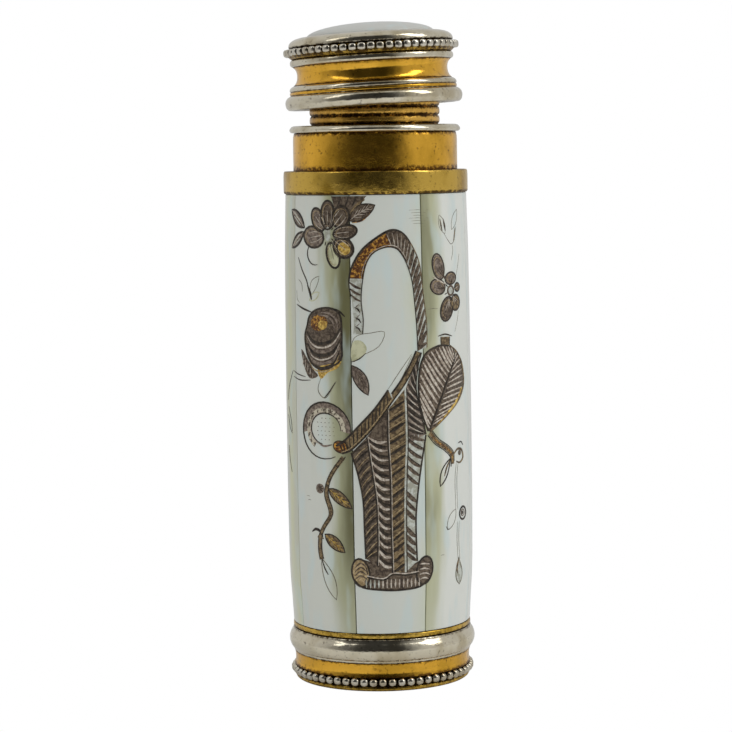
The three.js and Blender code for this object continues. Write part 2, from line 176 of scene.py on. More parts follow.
def metal(name, bright, wear_and_shade, dirt_and_shade, roughness, shift=0.0, pits=0.012):
    """Old metal: two tones in soft patches, dark spots, soiled grooves, painted shade under the cap,
    scratches and dents.

    shift moves the noise, so that no two metals have the same pattern. pits is the relief's depth.
    """
    s = Surface(name, Metallic=1.0)
    patches = s.ramp(s.noise(3.0, 4, (1, 1, 0.7), shift), 0.42, 0.68)
    colour = s.mix(patches, bright, wear_and_shade)
    spots = s.ramp(s.noise(0.45, 3, shift=shift + 0.01, rough=0.7), 0.57, 0.73, 0.0, 0.75)
    colour = s.mix(spots, colour, dirt_and_shade)
    broken = s.noise(0.5, 4, shift=shift + 0.02, rough=0.75)
    # Darkening from the outline's values: soiled grooves, and painted shade under the cap on the neck's upper
    # ribs.
    edge = s.times(s.attribute("grime_and_shade"), s.ramp(broken, 0.3, 0.7, 0.3, 1.5))
    colour = s.mix(s.ramp(edge, 0.2, 0.9, 0.0, 0.95), colour, dirt_and_shade)
    s.into("Base Color", colour)
    scratches = s.noise(0.9, 5, (1, 1, 14), shift + 0.03, 0.7)
    blotches = s.ramp(s.noise(1.2, 4, shift=shift + 0.04), 0.3, 0.7, roughness * 0.75, roughness * 1.4)
    s.into("Roughness", s.sum(blotches, s.times(edge, 0.25)))
    relief = s.sum(s.times(scratches, 0.5), s.times(spots, -0.5))
    dents = s.noise(1.5, 2, (1, 1, 1.6), shift + 0.05)
    relief = s.sum(relief, s.times(dents, 3.5))
    s.bump(relief, pits)
    return s.material


SILVER = metal("silver", (0.75, 0.69, 0.54), (0.55, 0.475, 0.32), (0.07, 0.045, 0.022), 0.085, pits=0.014)
SILVER_BEADS = metal("silver_beads", (0.70, 0.66, 0.56), (0.52, 0.46, 0.34), (0.04, 0.026, 0.014), 0.16)
GILT = metal("gilt", (0.93, 0.51, 0.06), (0.66, 0.36, 0.035), (0.11, 0.045, 0.010), 0.12, pits=0.010)
GILT_DULL = metal("gilt_dull", (0.72, 0.47, 0.09), (0.46, 0.28, 0.035), (0.07, 0.035, 0.010), 0.17, shift=0.3)
GILT_NECK = metal("gilt_neck", (0.86, 0.50, 0.10), (0.50, 0.27, 0.05), (0.05, 0.022, 0.008), 0.2, shift=0.5)
BRASS = metal("brass", (0.66, 0.47, 0.18), (0.50, 0.33, 0.11), (0.12, 0.07, 0.03), 0.34, shift=0.7)
TARNISH = metal("tarnish", (0.12, 0.075, 0.03), (0.05, 0.03, 0.014), (0.02, 0.012, 0.006), 0.5, shift=0.9)


PALE_FOOT = (0.006, 0.019)  # the deep tone grows to full strength between these heights, in metres
FLASH = (0.60, 0.73, 0.73)


def pearl(name, pale, deep, seed, turn=(0.0, 1.0)):
    """Mother-of-pearl: cloudy growth bands under a polished skin.

    turn gives the places across the stave where the pale tone ends and the deep tone, partly painted sheen,
    is reached.
    """
    s = Surface(name, Roughness=0.34, Coat_Weight=0.22, Coat_Roughness=0.12, IOR=1.5)
    cloud = s.noise(5.0, 3, (1.5, 1.5, 0.3), seed, 0.45)
    fine = s.noise(0.9, 4, (1, 1, 0.12), seed + 0.2, 0.6)
    sway = s.sum(s.times(cloud, 0.7), s.times(fine, 0.1))
    # The deep tone across the stave is partly the shell's own tone and partly painted sheen.
    share = s.ramp(s.sum(s.attribute("across"), s.sum(sway, -0.4)), *turn)
    up = s.node("ShaderNodeSeparateXYZ")
    s.link(s.place, up.inputs["Vector"])
    share = s.times(share, s.ramp(up.outputs["Z"], *PALE_FOOT, 0.5, 1.0))
    honey = [(a + b) / 2 * tint for a, b, tint in zip(pale, deep, (1.0, 1.0, 0.76))]
    colour = s.mix(s.ramp(share, 0.0, 0.6), pale, honey)
    colour = s.mix(s.ramp(share, 0.5, 1.0), colour, deep)
    flash = s.ramp(s.noise(2.6, 2, (1.5, 1.5, 0.4), seed + 0.5), 0.48, 0.72, 0.0, 0.5)
    s.into("Base Color", s.mix(flash, colour, FLASH))
    s.bump(s.noise(1.4, 3, (1, 1, 0.3), seed + 0.7), 0.01)
    return s.material


def inlay(name, light, dark, patch=0.5, share=(0.4, 0.6), metallic=0.35, roughness=0.42):
    """Inlaid metal or lacquer, mottled between two tones in patches about patch millimetres across."""
    s = Surface(name, Metallic=metallic, Roughness=roughness)
    mottle = s.ramp(s.noise(patch, 4, shift=patch, rough=0.65), *share)
    s.into("Base Color", s.mix(mottle, light, dark))
    s.bump(s.noise(0.25, 3, shift=0.4), 0.008)
    return s.material


INK = inlay("inlay_ink", (0.06, 0.045, 0.03), (0.02, 0.015, 0.011), 0.4)
UMBER = inlay("inlay_umber", (0.19, 0.145, 0.10), (0.055, 0.037, 0.026), 0.3, (0.38, 0.62))
MAUVE = inlay("inlay_mauve", (0.33, 0.265, 0.21), (0.12, 0.09, 0.07), 0.35, (0.36, 0.62))
RIB = inlay("inlay_rib", (0.74, 0.68, 0.58), (0.42, 0.34, 0.27), 0.3)
SILVERY = inlay("inlay_silvery", (0.66, 0.69, 0.63), (0.42, 0.42, 0.34), 0.6)
SPECKLED = inlay("inlay_speckled", (0.66, 0.60, 0.46), (0.06, 0.04, 0.025), 0.35, (0.46, 0.6))
BRONZE = inlay("inlay_bronze", (0.31, 0.225, 0.115), (0.08, 0.052, 0.028), 0.35, (0.36, 0.62))
TAN = inlay("inlay_tan", (0.60, 0.46, 0.26), (0.30, 0.21, 0.10), 0.3)
AMBER = inlay("inlay_amber", (0.70, 0.36, 0.06), (0.10, 0.035, 0.012), 0.28, (0.36, 0.54))
GOLD = inlay("inlay_gold", (0.82, 0.58, 0.14), (0.36, 0.20, 0.04), 0.3)
ETCHED = inlay("inlay_etched", (0.26, 0.24, 0.17), (0.12, 0.11, 0.075), metallic=0.0, roughness=0.6)
OLIVE = inlay("inlay_olive", (0.60, 0.60, 0.40), (0.42, 0.42, 0.25), 1.2, metallic=0.0)


# ---- Turned pieces ----
def round_axis(angle, radius, height):
    """The point at a radius and height in millimetres, angle from the front towards +X."""
    return Vector((radius * MM * math.sin(angle), -radius * MM * math.cos(angle), height * MM))


def arc(radius, height, size, start, end, steps):
    """Points on a circle in the outline's plane, angles in degrees from straight out."""
    angles = [math.radians(start + (end - start) * i / steps) for i in range(steps + 1)]
    return [(radius + size * math.cos(a), height + size * math.sin(a), 0.0) for a in angles]


def dome(radius, rim, rise, parts):
    """Points up the side of a dome, from its rim to its apex on the axis."""
    angles = [math.pi / 2 * i / parts for i in range(parts + 1)]
    return [(radius * math.cos(a), rim + rise * math.sin(a), 0) for a in angles]


def eased(outline, ease):
    """Rounds every corner of an outline by up to ease millimetres. Points are (radius, height[, darkness from
    soiling and painted shade]).
    """
    points = [(*p, 0.0)[:3] for p in outline]
    result = []
    for i, corner in enumerate(points):
        before = Vector(points[i - 1][:2])
        after = Vector(points[(i + 1) % len(points)][:2])
        here = Vector(corner[:2])
        turn = (here - before).angle(after - here, 0.0)
        if corner[0] < ON_AXIS or turn < CORNER:
            result.append(corner)
            continue
        back = min(ease, (before - here).length * 0.4)
        ahead = min(ease, (after - here).length * 0.4)
        start = here + (before - here).normalized() * back
        end = here + (after - here).normalized() * ahead
        for t in (0.0, 0.33, 0.67, 1.0):
            point = start * (1 - t) ** 2 + here * 2 * t * (1 - t) + end * t * t
            result.append((point.x, point.y, corner[2]))
    return result


def turned(name, outline, material, ease=EASE):
    """A smooth turned piece from a closed outline, carrying its darkness values (soiling and painted shade)
    as an attribute.
    """
    points = eased(outline, ease)
    verts, grime_and_shade, rows = [], [], []
    for radius, height, dirt_and_shade in points:
        count = 1 if radius < ON_AXIS else ROUND
        rows.append(range(len(verts), len(verts) + count))
        for k in range(count):
            verts.append(round_axis(TAU * k / ROUND, radius, height))
            grime_and_shade.append(dirt_and_shade)
    faces = []
    for i, row in enumerate(rows):
        above = rows[(i + 1) % len(rows)]
        if len(row) == 1 and len(above) == 1:
            continue
        for k in range(ROUND):
            n = (k + 1) % ROUND
            quad = [row[k % len(row)], row[n % len(row)], above[n % len(above)], above[k % len(above)]]
            faces.append(list(dict.fromkeys(quad)))
    return piece(name, verts, faces, [material], {"grime_and_shade": grime_and_shade})


def piece(name, verts, faces, materials, attributes=None, indices=None, sharp=40):
    """A mesh object with smooth shading, outward faces and its materials."""
    mesh = bpy.data.meshes.new(name)
    mesh.from_pydata(verts, [], faces)
    for key, values in (attributes or {}).items():
        layer = mesh.attributes.new(key, "FLOAT", "POINT")
        layer.data.foreach_set("value", values)
    for material in materials:
        mesh.materials.append(material)
    if indices:
        mesh.polygons.foreach_set("material_index", indices)
    work = bmesh.new()
    work.from_mesh(mesh)
    bmesh.ops.recalc_face_normals(work, faces=work.faces)
    work.to_mesh(mesh)
    work.free()
    mesh.polygons.foreach_set("use_smooth", [True] * len(mesh.polygons))
    mesh.set_sharp_from_angle(angle=math.radians(sharp))
    made = bpy.data.objects.new(name, mesh)
    bpy.context.scene.collection.objects.link(made)
    return made


def settle(made, body, slot, *nodes):
    """Puts a finished piece on its body and hides the CAD nodes it stands for."""
    if body == "cap":
        made.matrix_world = CAP_FRAME
    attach(made, body)
    if nodes:
        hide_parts(*nodes)


def mount(name, outline, material, body, slot, *nodes, ease=EASE):
    """Turns a piece and puts it on its body."""
    settle(turned(name, outline, material, ease), body, slot, *nodes)


def ring(bore, outside):
    """The outline of a ring with a plain bore, its outside given from the bottom up."""
    return [(bore, outside[0][1], 0.6), *outside, (bore, outside[-1][1], 0.6)]


BEAD_SHIFT = 0.02  # how far a bead may sit from its place in the row


def beads(name, circle, height, size, count, square):
    """A row of beads, each slightly different, standing on a circle.

    size is a bead's half width, half depth and half height. A square above 2 makes the beads boxier.
    """
    verts, faces, grime_and_shade = [], [], []
    ball = bmesh.new()
    bmesh.ops.create_icosphere(ball, subdivisions=3, radius=1.0)
    shape = []
    for vert in ball.verts:
        reach = sum(abs(share) ** square for share in vert.co) ** (1 / square)
        shape.append(vert.co / reach)
    skin = [[v.index for v in f.verts] for f in ball.faces]
    ball.free()
    for i in range(count):
        turn = Matrix.Rotation(TAU * i / count, 3, "Z")
        scale = random.uniform(0.96, 1.03)
        out = circle - random.uniform(-BEAD_SHIFT, BEAD_SHIFT)
        centre = Vector((0, -out, height + random.uniform(-BEAD_SHIFT, BEAD_SHIFT)))
        start = len(verts)
        for co in shape:
            local = Vector([share * half * scale for share, half in zip(co, size)])
            verts.append((turn @ (centre + local)) * MM)
            # Each bead is darker on its sides, towards its neighbours, and on its back.
            grime_and_shade.append(min(1.0, max(0.0, abs(co.x) * 2.4 - 1.5, co.y * 1.2)))
        faces += [[start + k for k in face] for face in skin]
    return piece(name, verts, faces, [SILVER_BEADS], {"grime_and_shade": grime_and_shade}, sharp=180)


def build_base():
    bottom, top, radius = span("foot_disc")
    mount("foot", [
        (0, bottom, 0.3), (4.0, bottom, 0.1), (8.6, bottom, 0.2), (8.75, bottom + 0.06, 0.7),
        (8.95, bottom + 0.06, 0.7), (9.1, bottom, 0.2), (9.28, bottom, 0.6),
        (radius - 0.06, bottom + 0.1, 0.5), (radius, bottom + 0.26, 0.4), (radius - 0.06, top - 0.08, 0.8),
        (9.3, top, 1.0), (0, top, 1.0),
    ], GILT_DULL, "knob", "silver", "foot_disc")

    bottom, top, radius = span("base_bead_ring")
    bore = span("knob_hub")[2] + 0.03
    seat = ring(bore, [(9.35, bottom, 0.9), (9.3, 1.0, 1.0), (9.35, top, 0.9)])
    mount("base_bead_seat", seat, TARNISH, "knob", "gilt", "base_bead_ring")
    row = beads("base_beads", radius - 0.44, (bottom + top) / 2, (0.47, 0.44, 0.44), 60, 2.2)
    settle(row, "knob", "silver")

    bottom, top, radius = span("base_band")
    mount("base_band_gilt", ring(bore, [
        (radius, bottom, 1.0), (radius - 0.1, bottom + 0.2, 0.5), (radius - 0.14, bottom + 0.5, 0),
        (radius - 0.12, top - 0.35, 0.0), (radius - 0.02, top, 0.6),
    ]), GILT, "knob", "gilt", "base_band")

    bottom, top, radius = span("base_moulding")
    swell = 1.42
    mount("base_moulding_silver", ring(bore, [
        (9.6, bottom, 0.9), (9.64, bottom + 0.12, 0.3), *arc(radius - swell, 4.27, swell, -46, 42, 18),
        (9.66, top - 0.1, 0.6), (9.55, top, 1.0),
    ]), SILVER, "knob", "silver", "base_moulding")


def build_collar():
    bottom, top, radius = span("edge_ring")
    bore = span("core_tube")[2] - 0.35
    mount("edge_ring_gilt", ring(bore, [
        (radius - 0.12, bottom, 1.0), (radius, bottom + 0.1, 0.5), (radius - 0.02, top - 0.12, 0.3),
        (radius - 0.1, top, 0.8),
    ]), GILT_DULL, "barrel", "gilt", "edge_ring")

    bottom, top, radius = span("collar_band")
    mount("collar_band_gilt", ring(8.42, [
        (radius - 0.12, bottom, 1.0), (radius - 0.02, bottom + 0.12, 0.9), (radius, bottom + 0.4, 0.15),
        (radius, top - 0.5, 0.0), (radius - 0.04, top - 0.12, 0.3), (radius - 0.12, top, 0.6),
    ]), GILT_DULL, "barrel", "gilt", "collar_band")

    bottom, top, radius = span("collar_tube")
    mount("collar_tube_gilt", ring(7.95, [
        (radius, bottom, 1.0), (radius, bottom + 0.2, 0.9), (radius, bottom + 0.7, 0.15),
        (radius, top - 0.95, 0.0), (radius - 0.02, top - 0.45, 0.25), (radius - 0.1, top - 0.1, 0.9),
        (radius - 0.14, top, 1.0),
    ]), GILT, "barrel", "gilt", "collar_tube")

    bottom, top, radius = span("neck_flange")
    mount("neck_flange_silver", ring(7.04, [
        (8.8, bottom, 1.0), (9.0, bottom + 0.02, 0.5), *arc(radius - 0.26, bottom + 0.28, 0.26, -60, 45, 6),
        (8.95, top - 0.08, 0.2), (8.7, top, 0.4), (7.4, top, 0.9),
    ]), SILVER, "barrel", "silver", "neck_flange")


def build_neck():
    """The guide tube: a ribbed neck, and two long shells with the straight lug slots between them."""
    bottom, top, _ = span("guide_tube")
    flange_top = span("neck_flange")[1]
    bore, radius, pitch = 6.45, 6.94, 0.92
    shells_top = 54.0
    # Rib crests from this height up are darker: painted shade under the cap.
    cap_shadow_from = 60.6
    outside = [(radius, shells_top, 0.5), (radius, flange_top, 0.9)]
    height = flange_top + 0.08
    while height + pitch < top - 0.1:
        # Lower crests are a little soiled; upper crests are darker still, with painted shade under the cap.
        wear_and_shade = 0.1 if height < cap_shadow_from else 0.3
        outside += [
            (6.78, height, 1.0), (6.92, height + 0.12, 0.8), (6.98, height + 0.3, wear_and_shade),
            (6.98, height + 0.55, wear_and_shade), (6.92, height + 0.8, 0.7),
        ]
        height += pitch
    outside += [(6.8, height, 0.8), (6.82, top - 0.08, 0.2), (6.7, top, 0.1)]
    mount("ribbed_neck", ring(bore, outside), GILT_NECK, "barrel", "gilt", "guide_tube")

    slot_width = 1.5
    slot_half = math.asin(slot_width / 2 / radius)
    for side, start in (("front", math.pi * 1.5), ("back", math.pi / 2)):
        outline = [(bore, bottom), (radius, bottom), (radius, shells_top), (bore, shells_top)]
        shell = sector(f"guide_shell_{side}", start + slot_half, start + math.pi - slot_half,
                       outline, BRASS, 48)
        settle(shell, "barrel", "gilt")


def sector(name, start, end, outline, material, steps):
    """Part of a turned piece between two angles, with the share of the way across it as an attribute."""
    verts, across, count = [], [], len(outline)
    for k in range(steps + 1):
        angle = start + (end - start) * k / steps
        for radius, height in outline:
            verts.append(round_axis(angle, radius, height))
            across.append(k / steps)
    faces = []
    for k in range(steps):
        for i in range(count):
            j = (i + 1) % count
            a, b = k * count, (k + 1) * count
            faces.append([a + i, a + j, b + j, b + i])
    faces.append(list(range(count)))
    faces.append([steps * count + i for i in range(count)])
    return piece(name, verts, faces, [material], {"across": across})


# ---- The pearl barrel ----
def barrel_radius(height):
    for (z0, r0), (z1, r1) in zip(BARREL_PROFILE, BARREL_PROFILE[1:]):
        if height <= z1:
            break
    return r0 + (r1 - r0) * (height - z0) / (z1 - z0)


def on_barrel(arc_length, height, lift):
    return round_axis(arc_length / ARC_RADIUS, barrel_radius(height) + lift, height)


# Each stave is cut from its own piece of shell: pale tone, deep tone, and where across it the tone turns.
# The darkening towards one seam is partly the shell's own tone and partly painted sheen.
STAVE_TONES = [
    ((0.68, 0.71, 0.65), (0.58, 0.62, 0.54), (0.7, 1.5)),
    ((0.80, 0.82, 0.76), (0.25, 0.25, 0.14), (0.45, -0.12)),
    ((0.80, 0.82, 0.77), (0.62, 0.64, 0.56), (0.5, 1.0)),
    ((0.76, 0.77, 0.69), (0.54, 0.56, 0.45), (0.1, 0.9)),
    ((0.68, 0.73, 0.69), (0.60, 0.63, 0.55), (0.3, 0.9)),
    ((0.74, 0.76, 0.70), (0.50, 0.52, 0.39), (0.5, 1.1)),
    ((0.76, 0.77, 0.68), (0.60, 0.61, 0.50), (0.4, 1.1)),
    ((0.69, 0.71, 0.64), (0.14, 0.136, 0.055), (0.32, 1.0)),
]


def build_barrel():
    stave_angle = TAU / STAVES
    seam = 0.05 / ARC_RADIUS
    bore = 8.45
    levels = 40
    for number, (pale, deep, turn) in enumerate(STAVE_TONES, start=1):
        start = FIRST_SEAM + (number - 1) * stave_angle + seam
        heights = [STAVE_BOTTOM + (STAVE_TOP - STAVE_BOTTOM) * i / levels for i in range(levels + 1)]
        outside = [(barrel_radius(z), z) for z in heights]
        outline = [(bore, STAVE_BOTTOM), *outside, (bore, STAVE_TOP)]
        material = pearl(f"pearl_{number}", pale, deep, number * 0.37, turn)
        stave = sector(f"stave_{number}", start, start + stave_angle - 2 * seam, outline, material, 28)
        bevel = stave.modifiers.new("eased edges", "BEVEL")
        bevel.width = 0.05 * MM
        bevel.segments = 2
        bevel.limit_method = "ANGLE"
        bevel.angle_limit = math.radians(60)
        settle(stave, "barrel", "pearl", f"pearl_stave_{number}")


# ---- The cap, in its own frame with its rim at height 0 ----
def build_cap():
    bore = 7.75
    mount("cap_skirt_silver", ring(bore, [
        (8.75, 0.0, 0.7), (9.2, 0.05, 0.35), (9.42, 0.28, 0.05), (9.5, 0.6, 0), (9.51, 0.85, 0),
        (9.44, 1.12, 0), (9.26, 1.36, 0.05), (9.02, 1.5, 0.5), (8.9, 1.56, 1.0), (8.86, 1.98, 1.0),
        (8.95, 2.03, 0.4), (8.97, 2.18, 0), (8.88, 2.38, 0.05), (8.68, 2.52, 0.3), (8.5, 2.6, 0.9),
    ]), SILVER, "cap", "silver", "cap_skirt", ease=0.08)

    mount("cap_groove_gilt", ring(8.6, [
        (8.9, 1.6, 0.9), (8.96, 1.68, 0.3), (8.96, 1.86, 0.3), (8.88, 1.95, 0.9),
    ]), GILT, "cap", "gilt")

    mount("cap_liner_brass", [
        (7.3, 0.1, 0.2), (7.7, 0.1, 0.6), (7.7, 6.57, 0.5), (7.3, 6.57, 0.5),
    ], BRASS, "cap", "brass", "cap_liner")

    mount("cap_band_gilt", ring(bore, [
        (8.5, 2.63, 0.8), (8.4, 2.72, 0.3), (8.24, 2.92, 0), (8.12, 3.2, 0), (8.07, 3.55, 0),
        (8.07, 3.85, 0), (8.13, 4.15, 0), (8.25, 4.38, 0.1), (8.46, 4.6, 0.7),
    ]), GILT, "cap", "gilt", "cap_band")

    mount("cap_listel_silver", ring(bore, [
        (8.5, 4.63, 0.9), (8.66, 4.7, 0.3), (8.76, 4.85, 0.05), (8.77, 5.08, 0.05), (8.7, 5.28, 0.3),
        (8.55, 5.36, 1.0),
    ]), SILVER, "cap", "silver", "cap_listel")

    mount("cap_bead_seat", ring(bore, [
        (8.5, 5.37, 1.0), (8.68, 5.5, 0.5), (8.86, 5.68, 0.9), (8.82, 6.45, 0.9), (8.6, 6.6, 0.6),
    ]), GILT_DULL, "cap", "gilt", "cap_bead_ring")
    row = beads("cap_beads", 9.04, 6.12, (0.44, 0.36, 0.385), 59, 2.9)
    settle(row, "cap", "silver")

    mount("cap_backing_brass", [
        (0, 6.62, 0.2), (8.0, 6.62, 0.6), (8.0, 6.94, 0.6), (0, 6.94, 0.6),
    ], BRASS, "cap", "brass", "cap_backing")

    mount("cap_bezel_silver", [
        (6.92, 6.98, 0.6), (8.05, 6.98, 0.6), (8.05, 6.64, 0.6), (8.8, 6.64, 0.9), (8.82, 6.82, 0.2),
        (8.76, 7.04, 0), (8.62, 7.24, 0), (8.38, 7.42, 0), (8.05, 7.56, 0), (7.65, 7.66, 0),
        (7.3, 7.7, 0), (7.08, 7.67, 0.15), (6.92, 7.58, 0.7),
    ], SILVER, "cap", "silver", "cap_bezel")

    rim, apex, radius, under = 7.6, 8.95, 6.85, 6.98
    skin = pearl("pearl_dome", (0.62, 0.625, 0.58), (0.50, 0.51, 0.46), 3.3)
    mount("cap_dome_pearl", [(0, under, 0), (radius, under, 0), *dome(radius, rim, apex - rim, 16)],
          skin, "cap", "pearl", "pearl_dome")


# ---- The swivel carrier, its stick and the cork ring ----
def wax_material():
    s = Surface("lipstick_wax", Roughness=0.42, Subsurface_Weight=0.15, Coat_Weight=0.15, Coat_Roughness=0.35)
    s.shader.inputs["Subsurface Radius"].default_value = (0.8 * MM, 0.2 * MM, 0.15 * MM)
    smears = s.noise(1.6, 3, (1, 1, 0.4), 0.2)
    s.into("Base Color", s.mix(s.ramp(smears, 0.35, 0.65), (0.33, 0.012, 0.03), (0.24, 0.008, 0.02)))
    s.bump(s.noise(0.5, 4, (1, 1, 0.25), 0.6), 0.02)
    return s.material


def cork_material():
    s = Surface("cork", Roughness=0.85)
    grains = s.ramp(s.noise(0.5, 4, shift=0.4, rough=0.7), 0.35, 0.7)
    s.into("Base Color", s.mix(grains, (0.42, 0.25, 0.12), (0.16, 0.08, 0.035)))
    s.bump(grains, 0.04)
    return s.material


def build_inside():
    bottom, top, radius = span("carrier_cup")
    bore, floor = 5.8, bottom + 0.8
    mount("carrier_cup_gilt", [
        (0, bottom, 0.3), (radius, bottom, 0.3), (radius, top - 0.25, 0.1), (radius - 0.1, top, 0),
        (bore, top, 0.1), (bore, floor, 0.4), (0, floor, 0.4),
    ], GILT, "carrier", "gilt", "carrier_cup", ease=0.12)

    bottom, top, radius = span("lipstick")
    shoulder, rise = top - 4.0, 5.0
    outline = [(0, bottom, 0), (radius, bottom, 0), *dome(radius, shoulder, rise, 14)]
    stick = turned("lipstick_stick", outline, wax_material())
    work = bmesh.new()
    work.from_mesh(stick.data)
    slope = math.radians(26)
    slant = Vector((0, -math.sin(slope), math.cos(slope)))
    cut = bmesh.ops.bisect_plane(work, geom=[*work.verts, *work.edges, *work.faces],
                                 plane_co=(0, 0, (top - 1.0) * MM), plane_no=slant, clear_outer=True)
    rim = [e for e in cut["geom_cut"] if isinstance(e, bmesh.types.BMEdge)]
    bmesh.ops.edgeloop_fill(work, edges=rim)
    bmesh.ops.recalc_face_normals(work, faces=work.faces)
    work.to_mesh(stick.data)
    work.free()
    stick.data.polygons.foreach_set("use_smooth", [True] * len(stick.data.polygons))
    soften = stick.modifiers.new("worn edge", "BEVEL")
    soften.width = 0.35 * MM
    soften.segments = 4
    soften.angle_limit = math.radians(25)
    settle(stick, "carrier", "lipstick_wax", "lipstick")

    bottom, top, radius = span("cap_seal")
    hole = 5.95
    mount("cork_ring", [(hole, bottom), (radius, bottom), (radius, top), (hole, top)],
                  cork_material(), "seal", "cork", "cap_seal", ease=0.12)

    for node in ("knob_hub", "thrust_washer", "spiral_sleeve", "core_tube", "neck_bush",
                 "lug_pin_left", "lug_pin_right"):
        for material_slot in frame["nodes"][node].material_slots:
            material_slot.material = BRASS


# ---- The inlaid picture, drawn on the unrolled barrel ----
SUNK = -0.06  # backs of plates and lines lie this far inside the pearl
FIRST_LAYER = 0.02  # the plates of a motif start this far above the pearl
LAYER_STEP = 0.0015  # and each lies this much above the one before
RIM_STEP = 0.45  # longest stretch of a plate's rim between two points, so that it follows the barrel
GRID = 0.55  # spacing round the barrel of the points inside a plate; twice this up the barrel
STROKE = (0.065, 0.45)  # lift and taper of the strokes that fill a band
EDGE = (0.07, 1.0)  # lift and taper of a line along the edge of a plate
RAISED = (0.075, 1.0)  # the same for an edge that stands above its neighbours
FAINT = 0.02  # lift of a line that has lost its metal


def smooth(points, parts=4, loop=False):
    """A Catmull-Rom curve through (arc, height) points, with so many parts between each pair."""
    corners = [Vector(p) for p in points]
    last = len(corners) - 1

    def corner(i):
        return corners[i % len(corners)] if loop else corners[min(max(i, 0), last)]

    result = []
    for i in range(len(corners) if loop else last):
        a, b, c, d = (corner(i + k) for k in (-1, 0, 1, 2))
        for k in range(parts):
            t = k / parts
            bend = (2 * a - 5 * b + 4 * c - d) * t + (3 * b - a - 3 * c + d) * t * t
            result.append(b + ((c - a) * t + bend * t) / 2)
    return result if loop else [*result, corners[-1]]


def along(curve, share):
    """The point at a share of the way along a curve."""
    place = min(max(share, 0.0), 1.0) * (len(curve) - 1)
    i = min(int(place), len(curve) - 2)
    return curve[i].lerp(curve[i + 1], place - i)


def at_height(curve, height):
    """The point at a height on a curve that only rises."""
    for a, b in zip(curve, curve[1:]):
        if height <= b.y:
            break
    return a.lerp(b, min(max((height - a.y) / (b.y - a.y), 0.0), 1.0))


def inside(point, outline):
    """True if the point lies inside the closed outline."""
    result = False
    for a, b in zip(outline, [*outline[1:], outline[0]]):
        if (a.y > point.y) != (b.y > point.y):
            if point.x < a.x + (b.x - a.x) * (point.y - a.y) / (b.y - a.y):
                result = not result
    return result


def oval(centre, half_wide, half_tall, turn=0.0):
    """An ellipse of 20 points, turned anticlockwise by so many degrees."""
    lean = Matrix.Rotation(math.radians(turn), 2)
    angles = [TAU * k / 20 for k in range(20)]
    return [Vector(centre) + lean @ Vector((half_wide * math.cos(a), half_tall * math.sin(a)))
            for a in angles]


def leaf(base, tip, width, fullness=1.0, bend=0.0):
    """The outline of a leaf or petal. Below 1, fullness moves its widest part to the base."""
    start, end = Vector(base), Vector(tip)
    axis = end - start
    side = Vector((-axis.y, axis.x)).normalized()
    sides = []
    for sign in (1, -1):
        for k in range(9):
            t = k / 8
            half = width / 2 * math.sin(math.pi * t ** fullness) ** 0.8
            sides.append(start + axis * t + side * (sign * half + bend * math.sin(math.pi * t)))
    return sides[:9] + sides[-2:9:-1]


